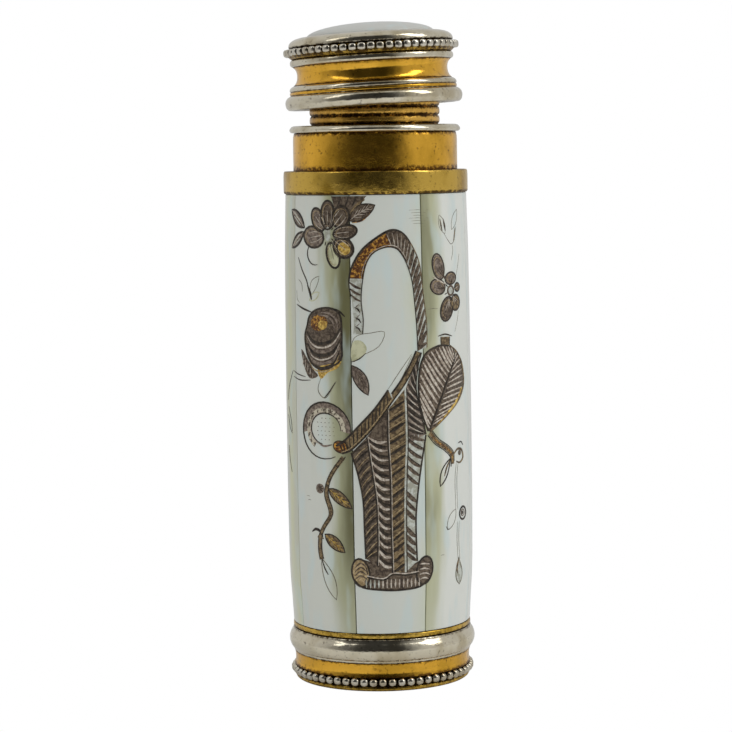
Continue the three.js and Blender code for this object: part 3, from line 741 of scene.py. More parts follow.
class Motif:
    """One motif of the picture: thin plates and raised or engraved lines, gathered into one mesh."""

    def __init__(self):
        self.verts, self.faces, self.indices, self.materials = [], [], [], []
        self.layer = FIRST_LAYER

    def add(self, faces, material):
        if material not in self.materials:
            self.materials.append(material)
        self.faces += faces
        self.indices += [self.materials.index(material)] * len(faces)

    def plate(self, outline, material):
        """A thin plate whose face follows the barrel."""
        self.layer += LAYER_STEP
        rim = []
        for a, b in zip(outline, [*outline[1:], outline[0]]):
            a, b = Vector(a), Vector(b)
            parts = math.ceil((b - a).length / RIM_STEP)
            rim += [a.lerp(b, k / parts) for k in range(parts)]
        points = list(rim)
        low = [min(p[axis] for p in rim) for axis in (0, 1)]
        size = [max(p[axis] for p in rim) - low[axis] for axis in (0, 1)]
        for i in range(1, int(size[0] / GRID) + 1):
            for j in range(1, int(size[1] / (2 * GRID)) + 1):
                point = Vector((low[0] + i * GRID, low[1] + j * 2 * GRID))
                if inside(point, rim) and min((point - p).length for p in rim) > GRID * 0.3:
                    points.append(point)
        flat, _, triangles, *_ = delaunay_2d_cdt(points, [], [list(range(len(rim)))], 1, 1e-5)
        start, count = len(self.verts), len(flat)
        for lift in (self.layer, SUNK):
            self.verts += [on_barrel(p.x, p.y, lift) for p in flat]
        sides = {(a, b) for face in triangles for a, b in zip(face, [*face[1:], face[0]])}
        faces = [[start + v for v in face] for face in triangles]
        faces += [[start + count + v for v in reversed(face)] for face in triangles]
        for a, b in sides:
            if (b, a) not in sides:
                faces.append([start + b, start + a, start + count + a, start + count + b])
        self.add(faces, material)

    def line(self, points, material, width, lift=0.06, taper=0.4):
        """A line with a raised middle, narrower towards its ends. With a taper of 1 its width is even."""
        points = [Vector(p) for p in points]
        last = len(points) - 1
        start = len(self.verts)
        for i, point in enumerate(points):
            ahead = points[min(i + 1, last)] - points[max(i - 1, 0)]
            side = Vector((-ahead.y, ahead.x)).normalized()
            share = min(i, last - i) / last
            half = width / 2 * min(1.0, taper + 3 * share * (1 - taper))
            edge = lift * 0.45
            profile = ((-1, SUNK), (-1, edge), (-0.45, lift), (0.45, lift), (1, edge), (1, SUNK))
            for across, height in profile:
                place = point + side * half * across
                self.verts.append(on_barrel(place.x, place.y, height))
        count = len(profile)
        faces = [list(range(start, start + count))]
        faces.append([start + last * count + k for k in reversed(range(count))])
        for i in range(last):
            for k in range(count):
                a, b = start + i * count + k, start + i * count + (k + 1) % count
                faces.append([a, b, b + count, a + count])
        self.add(faces, material)

    def curve(self, points, *style):
        """A line along the smooth curve through a few points."""
        self.line(smooth(points), *style)

    def loop(self, outline, material, width, lift=0.06):
        """A line right round an outline."""
        points = [Vector(p) for p in outline]
        self.line([*points, points[0], points[1]], material, width, lift, 1.0)

    def edged(self, outline, fill, *style):
        """A plate with a line round it."""
        self.plate(outline, fill)
        self.loop(outline, *style)

    def bowed(self, a, b, trim, sag, width, material):
        """A stroke from a to b that stops short of both and sags in the middle."""
        start, end = a.lerp(b, trim), b.lerp(a, trim)
        middle = (start + end) / 2 - Vector((0, sag))
        self.line(smooth([start, middle, end], 3), material, width * random.uniform(0.85, 1.15), *STROKE)

    def strokes(self, left, right, places, slope, sag, width, material, trim=0.06):
        """Strokes across the strip between two curves; slope moves their right ends along the strip."""
        for share in places:
            far = share + slope + random.uniform(-0.004, 0.004)
            if not (0 <= share <= 1 and 0 <= far <= 1):
                continue
            self.bowed(along(left, share), along(right, far), trim, sag, width, material)

    def slats(self, left, right, levels, rise, sag, width, material):
        """Strokes across an upright band, each from a level on its left to rise higher on its right."""
        for level in levels:
            level += random.uniform(-0.05, 0.05)
            if level + rise > right[-1].y:
                continue
            ends = at_height(left, level), at_height(right, level + rise)
            self.bowed(*ends, 0.06, sag, width, material)

    def veined(self, base, tip, width, fill, veins, fullness, bend, pairs=3):
        """A filled leaf or petal with an outline, a midrib and slanting veins."""
        outline = leaf(base, tip, width, fullness, bend)
        self.edged(outline, fill, INK, 0.13)
        start, end = Vector(base), Vector(tip)
        axis = end - start
        side = Vector((-axis.y, axis.x)).normalized()
        rib = [start + axis * t + side * bend * math.sin(math.pi * t) for t in (0.06, 0.3, 0.6, 0.9)]
        self.line(smooth(rib, 3), veins, 0.09, 0.06)
        for k in range(pairs):
            t = 0.18 + 0.6 * k / pairs
            root = start + axis * t + side * bend * math.sin(math.pi * t)
            for sign in (1, -1):
                reach = root + axis * 0.24 + side * sign * width * 0.3 * (1 - t * 0.4)
                self.line([root, (root + reach) / 2, reach], veins, 0.08, 0.055)

    def finish(self, name, *nodes):
        made = piece(name, self.verts, self.faces, self.materials, indices=self.indices, sharp=50)
        settle(made, "barrel", "inlay_metal", *nodes)


def shares(count, first=0.0, last=1.0):
    """So many evenly spaced shares of the way along a curve."""
    return [first + (last - first) * i / (count - 1) for i in range(count)]


def every(first, last, pitch):
    return [first + pitch * i for i in range(int((last - first) / pitch) + 1)]


def moved(curve, right, up=0.0):
    return [point + Vector((right, up)) for point in curve]


def between(first, second, share):
    """The curve that lies a share of the way from one curve to another."""
    return [Vector(a).lerp(Vector(b), share) for a, b in zip(first, second)]


def towards(degrees):
    """The direction at an angle, anticlockwise from the right."""
    return Vector((math.cos(math.radians(degrees)), math.sin(math.radians(degrees))))


def bordered(left, right):
    """The closed outline between two curves that run the same way."""
    return [*left, *reversed(right)]


# The basket's five bands, between these upright curves, each given from the bottom up.
BASKET_LEFT = smooth([(-1.6, 14.3), (-1.7, 17.4), (-1.8, 20.5), (-2.3, 23.2), (-3.0, 25.5)])
BASKET_1 = smooth([(-0.4, 13.6), (-0.3, 16.3), (-0.4, 20.5), (-0.9, 24.2), (-1.3, 27.2)])
BASKET_2 = smooth([(1.2, 12.8), (1.1, 18.0), (1.1, 22.6), (0.9, 26.8), (0.9, 30.0)])
BASKET_3 = smooth([(2.6, 12.8), (2.6, 18.3), (2.7, 22.6), (2.9, 26.8), (2.8, 32.2)])
BASKET_4 = smooth([(2.6, 12.8), (2.6, 17.0), (2.65, 21.0), (2.8, 24.5), (2.9, 27.4)])
BASKET_RIGHT = smooth([(3.9, 13.9), (3.8, 18.2), (4.1, 21.4), (4.5, 24.0), (5.1, 27.2)])
SHOULDER_LEFT = smooth([(2.85, 26.3), (2.9, 29.4), (2.8, 31.8), (3.6, 33.9), (4.5, 35.7)])
SHOULDER_RIGHT = smooth([(5.1, 27.3), (4.5, 29.6), (4.0, 32.2), (4.3, 34.6), (4.7, 35.9)])


def build_basket():
    m = Motif()
    m.plate(bordered(BASKET_LEFT, BASKET_1), UMBER)
    m.plate(bordered(BASKET_1, BASKET_2), UMBER)
    m.plate(bordered(BASKET_2, BASKET_3), BRONZE)
    m.plate(bordered(BASKET_4, BASKET_RIGHT), SILVERY)
    m.plate(bordered(SHOULDER_LEFT, SHOULDER_RIGHT), MAUVE)
    m.slats(BASKET_LEFT, BASKET_1, every(13.3, 25.3, 1.0), 1.5, -0.12, 0.24, INK)
    m.slats(BASKET_LEFT, BASKET_1, every(13.75, 25.2, 1.0), 1.5, -0.12, 0.1, TAN)
    m.slats(BASKET_1, BASKET_2, every(14.3, 28.2, 1.03), -0.95, 0.33, 0.26, RIB)
    m.slats(BASKET_1, BASKET_2, every(14.7, 28.0, 1.03), -0.95, 0.33, 0.3, INK)
    m.slats(BASKET_2, BASKET_3, every(12.6, 30.6, 1.15), 1.15, 0.03, 0.3, INK)
    m.slats(BASKET_2, BASKET_3, every(13.0, 30.2, 1.15), 1.15, 0.03, 0.1, TAN)
    lower = [z for z in every(15.0, 28.0, 0.92) if not (18.0 < z < 18.9 or 21.6 < z < 22.5)]
    m.slats(BASKET_4, BASKET_RIGHT, lower, -1.3, 0.1, 0.44, UMBER)
    m.slats(BASKET_4, BASKET_RIGHT, [z + 0.1 for z in lower], -1.3, 0.1, 0.14, INK)
    m.slats(SHOULDER_LEFT, SHOULDER_RIGHT, every(28.0, 35.6, 0.8), -1.5, 0.08, 0.36, INK)
    m.slats(SHOULDER_LEFT, SHOULDER_RIGHT, every(28.4, 35.6, 0.8), -1.5, 0.08, 0.11, RIB)
    for curve in (BASKET_1, BASKET_2):
        m.line(curve, INK, 0.2, *EDGE)
        m.line(moved(curve, 0.12), RIB, 0.1, *RAISED)
    m.line(BASKET_3, SILVERY, 0.2, *EDGE)
    m.line(moved(BASKET_3, 0.17), INK, 0.11, *RAISED)
    for curve in (BASKET_LEFT, BASKET_RIGHT, SHOULDER_RIGHT):
        m.line(curve, INK, 0.19, *EDGE)

    rim_low = smooth([(-4.0, 25.4), (-3.0, 25.8), (-1.5, 27.2), (-0.1, 28.8), (1.5, 31.0)])
    rim_high = smooth([(-4.7, 26.2), (-3.6, 26.9), (-1.9, 28.6), (-0.4, 30.2), (1.0, 32.1)])
    m.plate(bordered(rim_low, rim_high), BRONZE)
    m.strokes(rim_low, rim_high, shares(14, 0.04, 0.9), 0.07, 0.0, 0.14, INK)
    m.line(rim_low, INK, 0.15, *RAISED)
    m.line(moved(rim_low, -0.12, 0.16), TAN, 0.12, *RAISED)
    m.line(rim_high, INK, 0.22, *RAISED)
    shoulder_low = smooth([(1.5, 31.0), (2.8, 32.7), (3.7, 34.2), (4.6, 35.9)])
    shoulder_high = smooth([(1.35, 31.7), (2.4, 33.1), (3.4, 34.7), (4.1, 36.1)])
    m.plate(bordered(shoulder_low, shoulder_high), BRONZE)
    m.line(shoulder_high, INK, 0.2, *RAISED)
    m.line(shoulder_low, INK, 0.13, *RAISED)
    for shift in (0.0, 0.55):
        lip = [(1.0 + shift, 32.2 - shift * 0.6), (2.1 + shift * 0.8, 33.8 - shift * 0.6),
               (3.6, 35.8 - shift * 0.4)]
        m.curve(lip, ETCHED, 0.08, FAINT)
    m.edged(oval((-4.2, 26.1), 0.85, 0.62, -15), AMBER, INK, 0.12)
    m.finish("basket", "inlay_basket")


def build_foot():
    m = Motif()
    body = [(-1.8, 14.2), (-1.5, 12.4), (-2.2, 11.3), (0.0, 11.0), (2.0, 10.95), (4.2, 11.15),
            (5.0, 11.4), (4.2, 12.6), (4.1, 13.9), (2.6, 13.2), (1.2, 13.0), (-0.3, 13.8)]
    m.plate(body, UMBER)
    for centre, size, lean in (((-2.2, 12.8), (0.95, 1.5), 8), ((4.8, 12.85), (0.95, 1.5), -12)):
        m.edged(oval(centre, *size, lean), TAN if centre[0] < 0 else UMBER, INK, 0.2)
    for k in range(4):
        m.curve([(-2.8, 12.1 + 0.4 * k), (-2.2, 12.5 + 0.45 * k), (-1.6, 12.2 + 0.4 * k)], UMBER, 0.17)
        m.curve([(4.2, 11.9 + 0.55 * k), (4.8, 12.05 + 0.5 * k), (5.4, 11.8 + 0.55 * k)], RIB, 0.16)
    shelf = smooth([(-1.5, 12.5), (0.2, 12.2), (1.2, 12.75), (2.6, 12.65), (4.1, 12.8)])
    m.line(shelf, RIB, 0.14, *EDGE)
    m.line(moved(shelf, 0, -0.16), INK, 0.16, *EDGE)
    for k in range(14):
        x = -1.6 + 0.44 * k
        m.line([(x, 11.2), (x, 11.65), (x + 0.02, 12.1)], SILVERY if k < 4 else RIB, 0.21, 0.065)
    bottom = smooth([(-2.9, 12.0), (-2.0, 11.25), (0.0, 10.98), (2.0, 10.92), (4.2, 11.15), (5.3, 11.9)])
    m.line(bottom, INK, 0.2, *RAISED)
    m.finish("basket_foot", "inlay_basket_foot")


HANDLE_OUTER = smooth([
    (-2.6, 38.0), (-2.5, 39.4), (-2.7, 41.5), (-3.0, 43.2), (-2.7, 44.9), (-1.6, 46.7), (0.0, 48.0),
    (1.6, 48.8), (2.9, 48.4), (3.9, 47.0), (4.6, 45.4), (4.9, 43.5), (5.1, 41.4), (5.4, 39.0), (5.4, 36.4),
])
HANDLE_INNER = smooth([
    (-1.6, 38.0), (-1.5, 39.5), (-1.7, 41.3), (-1.6, 43.0), (-1.2, 45.1), (-0.4, 46.4), (0.9, 47.0),
    (2.0, 46.9), (2.7, 46.2), (3.3, 45.0), (3.8, 43.3), (4.0, 41.4), (4.2, 39.0), (4.3, 36.3), (4.3, 36.2),
])


def build_handle():
    m = Motif()

    def part(curve, count, first, last):
        return [along(curve, share) for share in shares(count, first, last)]

    def stretch(first, last, material, count=14):
        left, right = part(HANDLE_OUTER, count, first, last), part(HANDLE_INNER, count, first, last)
        m.plate(bordered(left, right), material)
        return left, right

    stretch(0.0, 0.13, SILVERY)
    left, right = stretch(0.13, 0.24, SILVERY)
    m.strokes(left, right, shares(5, 0.1, 1.1), -0.2, 0.1, 0.26, UMBER)
    stretch(0.24, 0.47, AMBER)
    left, right = stretch(0.47, 0.62, UMBER)
    m.strokes(left, right, shares(6, 0.02, 0.96), 0.0, 0.0, 0.1, RIB, trim=0.15)
    left, right = stretch(0.62, 1.0, SILVERY, 24)
    m.strokes(left, right, shares(12, 0.0, 0.95), 0.025, -0.06, 0.4, UMBER, trim=0.04)
    for share in (0.03, 0.07, 0.11):
        spot = along(HANDLE_OUTER, share).lerp(along(HANDLE_INNER, share), 0.45)
        blot = [(-0.28, 0.3), (0.1, 0.1), (0.3, -0.25)]
        m.line([spot + Vector(p) for p in blot], INK, 0.18, 0.07)
        m.line([spot + Vector((-p[0] * 0.7, p[1] + 0.3)) for p in blot], MAUVE, 0.1, 0.07)
    m.line(part(HANDLE_OUTER, 30, 0.16, 0.64), INK, 0.24, 0.07)
    m.line(part(HANDLE_OUTER, 24, 0.62, 1.0), BRONZE, 0.12, *EDGE)
    m.line(part(HANDLE_INNER, 44, 0.0, 1.0), INK, 0.11, *EDGE)
    pale = between(part(HANDLE_INNER, 30, 0.22, 0.66), part(HANDLE_OUTER, 30, 0.22, 0.66), 0.12)
    m.line(pale, RIB, 0.1, 0.072)
    m.finish("basket_handle", "inlay_basket_handle")


def build_plume():
    m = Motif()
    left = smooth([(5.4, 27.6), (4.6, 29.8), (4.3, 32.2), (4.6, 34.6), (5.4, 35.9), (7.0, 36.5),
                   (8.4, 36.4)])
    right = smooth([(5.6, 27.5), (8.2, 29.2), (10.2, 30.6), (11.3, 32.2), (11.0, 34.2), (9.9, 35.6),
                    (8.6, 36.4)])
    rib = smooth([(5.6, 27.8), (6.2, 29.0), (7.1, 30.8), (8.0, 32.5), (8.8, 33.9), (9.4, 34.9),
                  (9.2, 35.9)])
    m.plate(bordered(left, right), UMBER)
    m.strokes(left, rib, shares(17, 0.16, 1.04), -0.16, 0.16, 0.26, RIB)
    m.strokes(rib, right, shares(17, 0.06, 0.92), 0.09, -0.05, 0.17, RIB, trim=0.1)
    m.line(rib, INK, 0.24, *RAISED)
    m.line(left, INK, 0.2, *RAISED)
    m.line(right, BRONZE, 0.2, *RAISED)
    glint = [along(right, s).lerp(along(rib, s), 0.12) for s in shares(12, 0.08, 0.46)]
    m.line(glint, GOLD, 0.26, 0.08)
    neck = [(7.3, 36.5), (7.25, 37.4), (8.6, 37.35), (8.55, 36.45)]
    m.plate(neck, BRONZE)
    for a, b in ((0, 1), (2, 3)):
        m.line([neck[a], Vector(neck[a]).lerp(Vector(neck[b]), 0.5), neck[b]], INK, 0.13)
    m.curve([(6.9, 37.5), (7.9, 37.65), (9.0, 37.4)], INK, 0.16)
    m.finish("plume", "inlay_plume")


def build_ring_loop():
    m = Motif()
    centre = Vector((-6.05, 27.95))
    turns = [towards(angle) for angle in range(-5, 300, 12)]
    outer = [Vector((-6.15, 27.75)) + Vector((3.15 * out.x, 3.0 * out.y)) for out in turns]
    inner = [centre + Vector((1.9 * out.x, 1.65 * out.y)) for out in turns]
    middle = between(outer, inner, 0.5)
    m.plate(bordered(outer[:17], middle[:17]), MAUVE)
    m.plate(bordered(middle[:21], inner[:21]), SPECKLED)
    m.line(outer, INK, 0.2, 0.07)
    m.line(inner[:23], INK, 0.14, 0.07)
    m.line(between(inner[8:23], middle[8:23], 0.18), RIB, 0.16, 0.07)
    m.curve([(-5.2, 26.3), (-6.2, 26.1), (-6.9, 26.4)], MAUVE, 0.2, 0.06)
    for i in range(5):
        for j in range(6):
            place = Vector((-7.1 + 0.5 * i + 0.1 * (j % 2), 26.8 + 0.45 * j))
            if (place - centre).length < 1.3:
                m.line([place + Vector((0.06 * k, 0)) for k in range(3)], ETCHED, 0.1, 0.025)
    m.finish("ring_loop", "inlay_ring_loop")


def build_left_spray():
    m = Motif()
    stem = smooth([(-3.9, 25.0), (-5.1, 23.5), (-5.8, 22.2), (-6.0, 20.9), (-5.5, 19.4), (-5.6, 18.6),
                   (-6.4, 17.5), (-6.9, 16.5), (-7.0, 15.1), (-6.8, 14.0)])
    m.line(stem, BRONZE, 0.5, 0.05, 1.0)
    for side in (-0.24, 0.24):
        m.line(moved(stem, side, side * 0.3), INK, 0.1, 0.065, 1.0)
    for k in range(5):
        p = along(stem, 0.02 + 0.055 * k)
        m.line([p + Vector((-0.25, 0.1)), p, p + Vector((0.22, -0.12))], INK, 0.14, 0.07)
    m.veined((-5.7, 21.6), (-3.0, 19.6), 1.2, BRONZE, GOLD, 0.85, 0.05)
    m.veined((-6.3, 16.7), (-3.9, 14.9), 1.25, BRONZE, GOLD, 0.9, 0.05)
    m.loop(leaf((-6.85, 14.1), (-5.1, 9.75), 1.35, 1.1, 0.1), ETCHED, 0.1, 0.03)
    m.curve([(-6.8, 14.0), (-6.4, 13.0), (-6.0, 12.4)], INK, 0.14)
    berry = Vector((-6.85, 21.55))
    m.plate(oval(berry, 0.55, 0.52), MAUVE)
    for angle in range(0, 360, 45):
        m.line([berry + towards(angle) * d for d in (0.0, 0.26, 0.52)], UMBER, 0.16)
    m.curve([(-6.6, 16.4), (-7.0, 17.0), (-7.6, 17.15), (-8.1, 16.85)], INK, 0.3, 0.06)
    m.curve([(-6.5, 16.2), (-7.0, 16.5), (-7.3, 16.3)], BRONZE, 0.22, 0.06)
    m.finish("left_spray", "inlay_left_spray")


def build_right_spray():
    m = Motif()
    branch = smooth([(5.6, 27.4), (6.5, 26.4), (7.8, 25.6), (8.7, 24.8), (8.8, 23.8)])
    m.line(branch, BRONZE, 0.55, 0.05, 1.0)
    for side in (-0.26, 0.26):
        m.line(moved(branch, side, side), INK, 0.09, 0.065, 1.0)
    m.line(branch, AMBER, 0.2, 0.065)
    m.curve([(8.8, 24.6), (9.4, 25.1), (9.9, 25.3), (10.6, 25.1), (10.9, 24.3), (10.2, 23.8), (9.5, 24.0)],
           BRONZE, 0.26, 0.06)
    m.curve([(9.9, 25.9), (10.5, 26.0), (10.9, 25.6)], INK, 0.14, 0.05)
    m.plate(oval((10.15, 24.85), 0.3, 0.28), UMBER)
    m.loop(leaf((8.4, 24.4), (6.9, 21.6), 0.95, 1.1, -0.1), INK, 0.15, 0.05)
    m.curve([(8.3, 24.2), (7.8, 23.4), (7.5, 22.6)], BRONZE, 0.2, 0.05)
    for shift in (0.0, 0.35):
        m.curve([(9.5 + shift, 23.9), (9.2 + shift, 22.0), (9.3 + shift, 18.8)], ETCHED, 0.07, FAINT)
        m.curve([(9.6 + shift, 17.5), (9.5 + shift, 15.5), (9.7 + shift, 13.4)], ETCHED, 0.08, FAINT)
    m.loop(oval((10.75, 18.3), 0.72, 0.68), INK, 0.22, 0.06)
    m.loop(oval((10.7, 18.35), 0.36, 0.34), MAUVE, 0.14, 0.05)
    m.plate(oval((10.65, 18.35), 0.2, 0.2), INK)
    m.loop(leaf((9.3, 18.9), (7.9, 16.8), 1.1, 1.0), ETCHED, 0.08, FAINT)
    m.line([(7.7, 17.2), (7.9, 16.9), (8.2, 16.85)], INK, 0.12, 0.04)
    m.edged(leaf((9.8, 13.6), (10.0, 10.7), 1.3, 1.4), SILVERY, ETCHED, 0.12, 0.05)
    m.curve([(9.8, 13.5), (9.5, 12.6), (9.6, 11.9)], BRONZE, 0.3, 0.055)
    m.finish("right_spray", "inlay_right_spray")


def build_flower():
    """The big flower at the top left: petals round a pale pip, drawn back to front."""
    m = Motif()
    top = STAVE_TOP - 0.1
    sepals = [(-5.0, top), (-4.6, 51.2), (-3.3, 50.9), (-2.6, 50.6), (-1.0, top)]
    m.plate(sepals, UMBER)
    for x in (-4.3, -3.4, -2.6, -1.8):
        m.curve([(x, 51.3), (x + 0.3, 51.8), (x + 0.4, top)], INK, 0.16)
    m.veined((-2.9, 49.8), (-0.1, 51.4), 1.5, UMBER, RIB, 0.9, 0.12, 4)
    m.curve([(-2.8, 50.5), (-2.1, 51.4), (-1.2, 52.0)], BRONZE, 0.28)
    m.curve([(-2.6, 49.6), (-1.5, 49.8), (-0.6, 50.6)], AMBER, 0.12)
    for base, tip, width in (((-8.8, 49.1), (-11.4, 50.9), 1.3), ((-8.9, 48.6), (-11.3, 46.9), 1.0)):
        m.edged(leaf(base, tip, width), MAUVE, INK, 0.24)
        base, tip = Vector(base), Vector(tip)
        m.curve([base, base.lerp(tip, 0.4) + Vector((0, 0.15)), tip], RIB, 0.12)
        for shift in (-0.22, 0.24):
            streak = [base.lerp(tip, t) for t in (0.25, 0.5, 0.75)]
            m.line(moved(streak, 0, shift), SILVERY, 0.16)
    petals = [
        ((-7.2, 46.3), (1.05, 1.15), 20, None), ((-4.8, 46.2), (0.74, 1.35), 15, OLIVE),
        ((-3.6, 47.0), (1.2, 1.0), -35, UMBER), ((-6.7, 49.9), (0.82, 1.3), 25, MAUVE),
        ((-5.45, 50.4), (0.85, 1.5), 0, UMBER), ((-3.9, 50.2), (1.0, 1.15), -25, UMBER),
        ((-7.4, 48.1), (1.45, 1.1), -10, MAUVE), ((-3.4, 48.6), (1.35, 0.72), 12, UMBER),
    ]
    heart = Vector((-5.4, 48.4))
    for centre, size, lean, fill in petals:
        outline = oval(centre, *size, lean)
        if fill is None:
            m.line(outline[6:16], INK, 0.14)
            continue
        m.edged(outline, fill, INK, 0.24)
        m.line(oval(centre, size[0] * 0.76, size[1] * 0.76, lean)[1:17], TAN, 0.08)
        out = (Vector(centre) - heart).normalized()
        side = Vector((-out.y, out.x))
        for shift in (-0.32, 0.0, 0.32):
            start = heart + out * 0.75 + side * shift * 0.6
            end = Vector(centre) + out * 0.45 + side * shift * 1.6
            tone = ETCHED if fill is OLIVE else RIB
            m.curve([start, (start + end) / 2 + side * shift * 0.5, end], tone, 0.09)
    m.plate(oval((-3.5, 46.9), 0.72, 0.62, -40), GOLD)
    m.plate(oval((-5.4, 48.4), 0.35, 0.75), SILVERY)
    for angle in range(0, 360, 30):
        out = Vector((0.5 * towards(angle).x, 0.9 * towards(angle).y))
        m.line([heart + out * d for d in (1.0, 1.25, 1.5)], INK, 0.14)
    m.finish("flower", "inlay_flower")


def build_bud():
    m = Motif()
    outline = smooth([
        (-8.4, 38.8), (-8.1, 39.7), (-7.2, 40.4), (-5.8, 40.7), (-4.6, 40.5), (-4.0, 39.8), (-3.9, 38.5),
        (-3.9, 36.8), (-4.0, 35.3), (-5.2, 34.5), (-6.4, 34.2), (-7.5, 34.6), (-8.3, 35.4), (-8.7, 36.6),
        (-8.8, 37.8),
    ], 3, loop=True)
    m.plate(outline, UMBER)
    low_leaf = [(-9.5, 36.2), (-8.6, 35.4), (-7.6, 34.2), (-6.9, 33.5), (-8.1, 33.2), (-9.0, 34.4)]
    m.plate(smooth(low_leaf, 3, loop=True), UMBER)
    for k in range(5):
        x = -9.1 + 0.38 * k
        m.line([(x, 35.6 - 0.45 * k), (x - 0.05, 35.0 - 0.4 * k), (x - 0.1, 34.5 - 0.3 * k)], RIB, 0.08)
    bows = [(INK, 0.34), (RIB, 0.2), (MAUVE, 0.3), (INK, 0.34), (RIB, 0.16), (MAUVE, 0.3), (INK, 0.24),
            (TAN, 0.14)]
    for k, (tone, width) in enumerate(bows):
        drop = 0.42 * k
        bow = [(-8.5 + 0.05 * k, 38.1 - drop), (-7.6, 37.2 - drop), (-6.3, 36.9 - drop),
               (-4.9, 37.4 - drop), (-4.0 - 0.03 * k, 38.6 - drop * 0.95)]
        m.curve(bow, tone, width, 0.065)
    arch = [(-4.3, 38.4), (-4.5, 39.5), (-5.3, 40.1), (-6.4, 40.2)]
    for shift in (0.0, 0.45):
        m.curve([(x - shift * 0.8, z - shift * 0.6) for x, z in arch], MAUVE, 0.22, 0.065)
    m.plate(oval((-6.7, 39.1), 1.15, 0.85, 10), AMBER)
    m.plate(oval((-6.2, 38.9), 0.6, 0.5, 10), GOLD)
    calyx = [(-6.9, 34.4), (-5.3, 34.8), (-4.0, 35.3), (-4.4, 34.4), (-5.6, 33.9), (-6.5, 33.2)]
    m.plate(smooth(calyx, 3, loop=True), GOLD)
    m.loop(outline, INK, 0.22, 0.07)
    m.curve([(-10.2, 40.9), (-9.0, 40.5), (-7.7, 40.2)], INK, 0.2)
    m.curve([(-5.0, 40.65), (-4.2, 40.4), (-3.5, 39.8)], INK, 0.2)
    tail = [(-6.5, 33.3), (-6.9, 32.3), (-6.7, 31.6), (-6.0, 31.2), (-5.3, 31.9), (-4.6, 33.0)]
    m.curve(tail, ETCHED, 0.1, 0.03)
    m.line([(-6.1, 31.2), (-5.4, 31.9), (-4.7, 32.9)], INK, 0.16)
    m.finish("bud", "inlay_bud")

    m = Motif()
    m.veined((-2.8, 34.7), (-1.1, 31.6), 1.35, MAUVE, UMBER, 0.95, 0.1, 4)
    m.finish("bud_leaf", "inlay_bud_leaf")


def build_blossom():
    m = Motif()
    heart = Vector((8.95, 42.2))
    for centre, size, lean, fill in (
        ((7.1, 44.8), (0.8, 1.4), 15, MAUVE), ((7.0, 42.7), (1.05, 0.8), -15, MAUVE),
        ((9.0, 43.5), (0.95, 0.65), 5, MAUVE), ((8.3, 40.3), (0.95, 1.35), -25, UMBER),
        ((9.8, 40.9), (0.85, 0.85), 30, BRONZE), ((10.2, 42.5), (0.5, 0.45), 0, UMBER),
    ):
        m.edged(oval(centre, *size, lean), fill, INK, 0.15)
        m.line(oval(centre, size[0] * 0.7, size[1] * 0.72, lean)[1:17], TAN, 0.08)
        for shift in (-0.3, 0.1, 0.45):
            root = Vector((8.9, 42.2)).lerp(Vector(centre), 0.45)
            tip = Vector(centre) + Vector((shift, shift * 0.4)) * size[0]
            m.line([root, (root + tip) / 2, tip], UMBER if fill is MAUVE else RIB, 0.1)
    m.curve([(6.3, 43.8), (7.2, 43.3), (8.2, 42.9)], RIB, 0.2, 0.07)
    m.loop(oval(heart, 0.5, 0.48), UMBER, 0.22, 0.075)
    m.plate(oval(heart, 0.3, 0.28), SILVERY)
    for angle in range(20, 380, 60):
        m.line([heart + towards(angle) * d for d in (0.65, 0.85, 1.05)], INK, 0.12, 0.07)
    m.finish("blossom", "inlay_blossom")


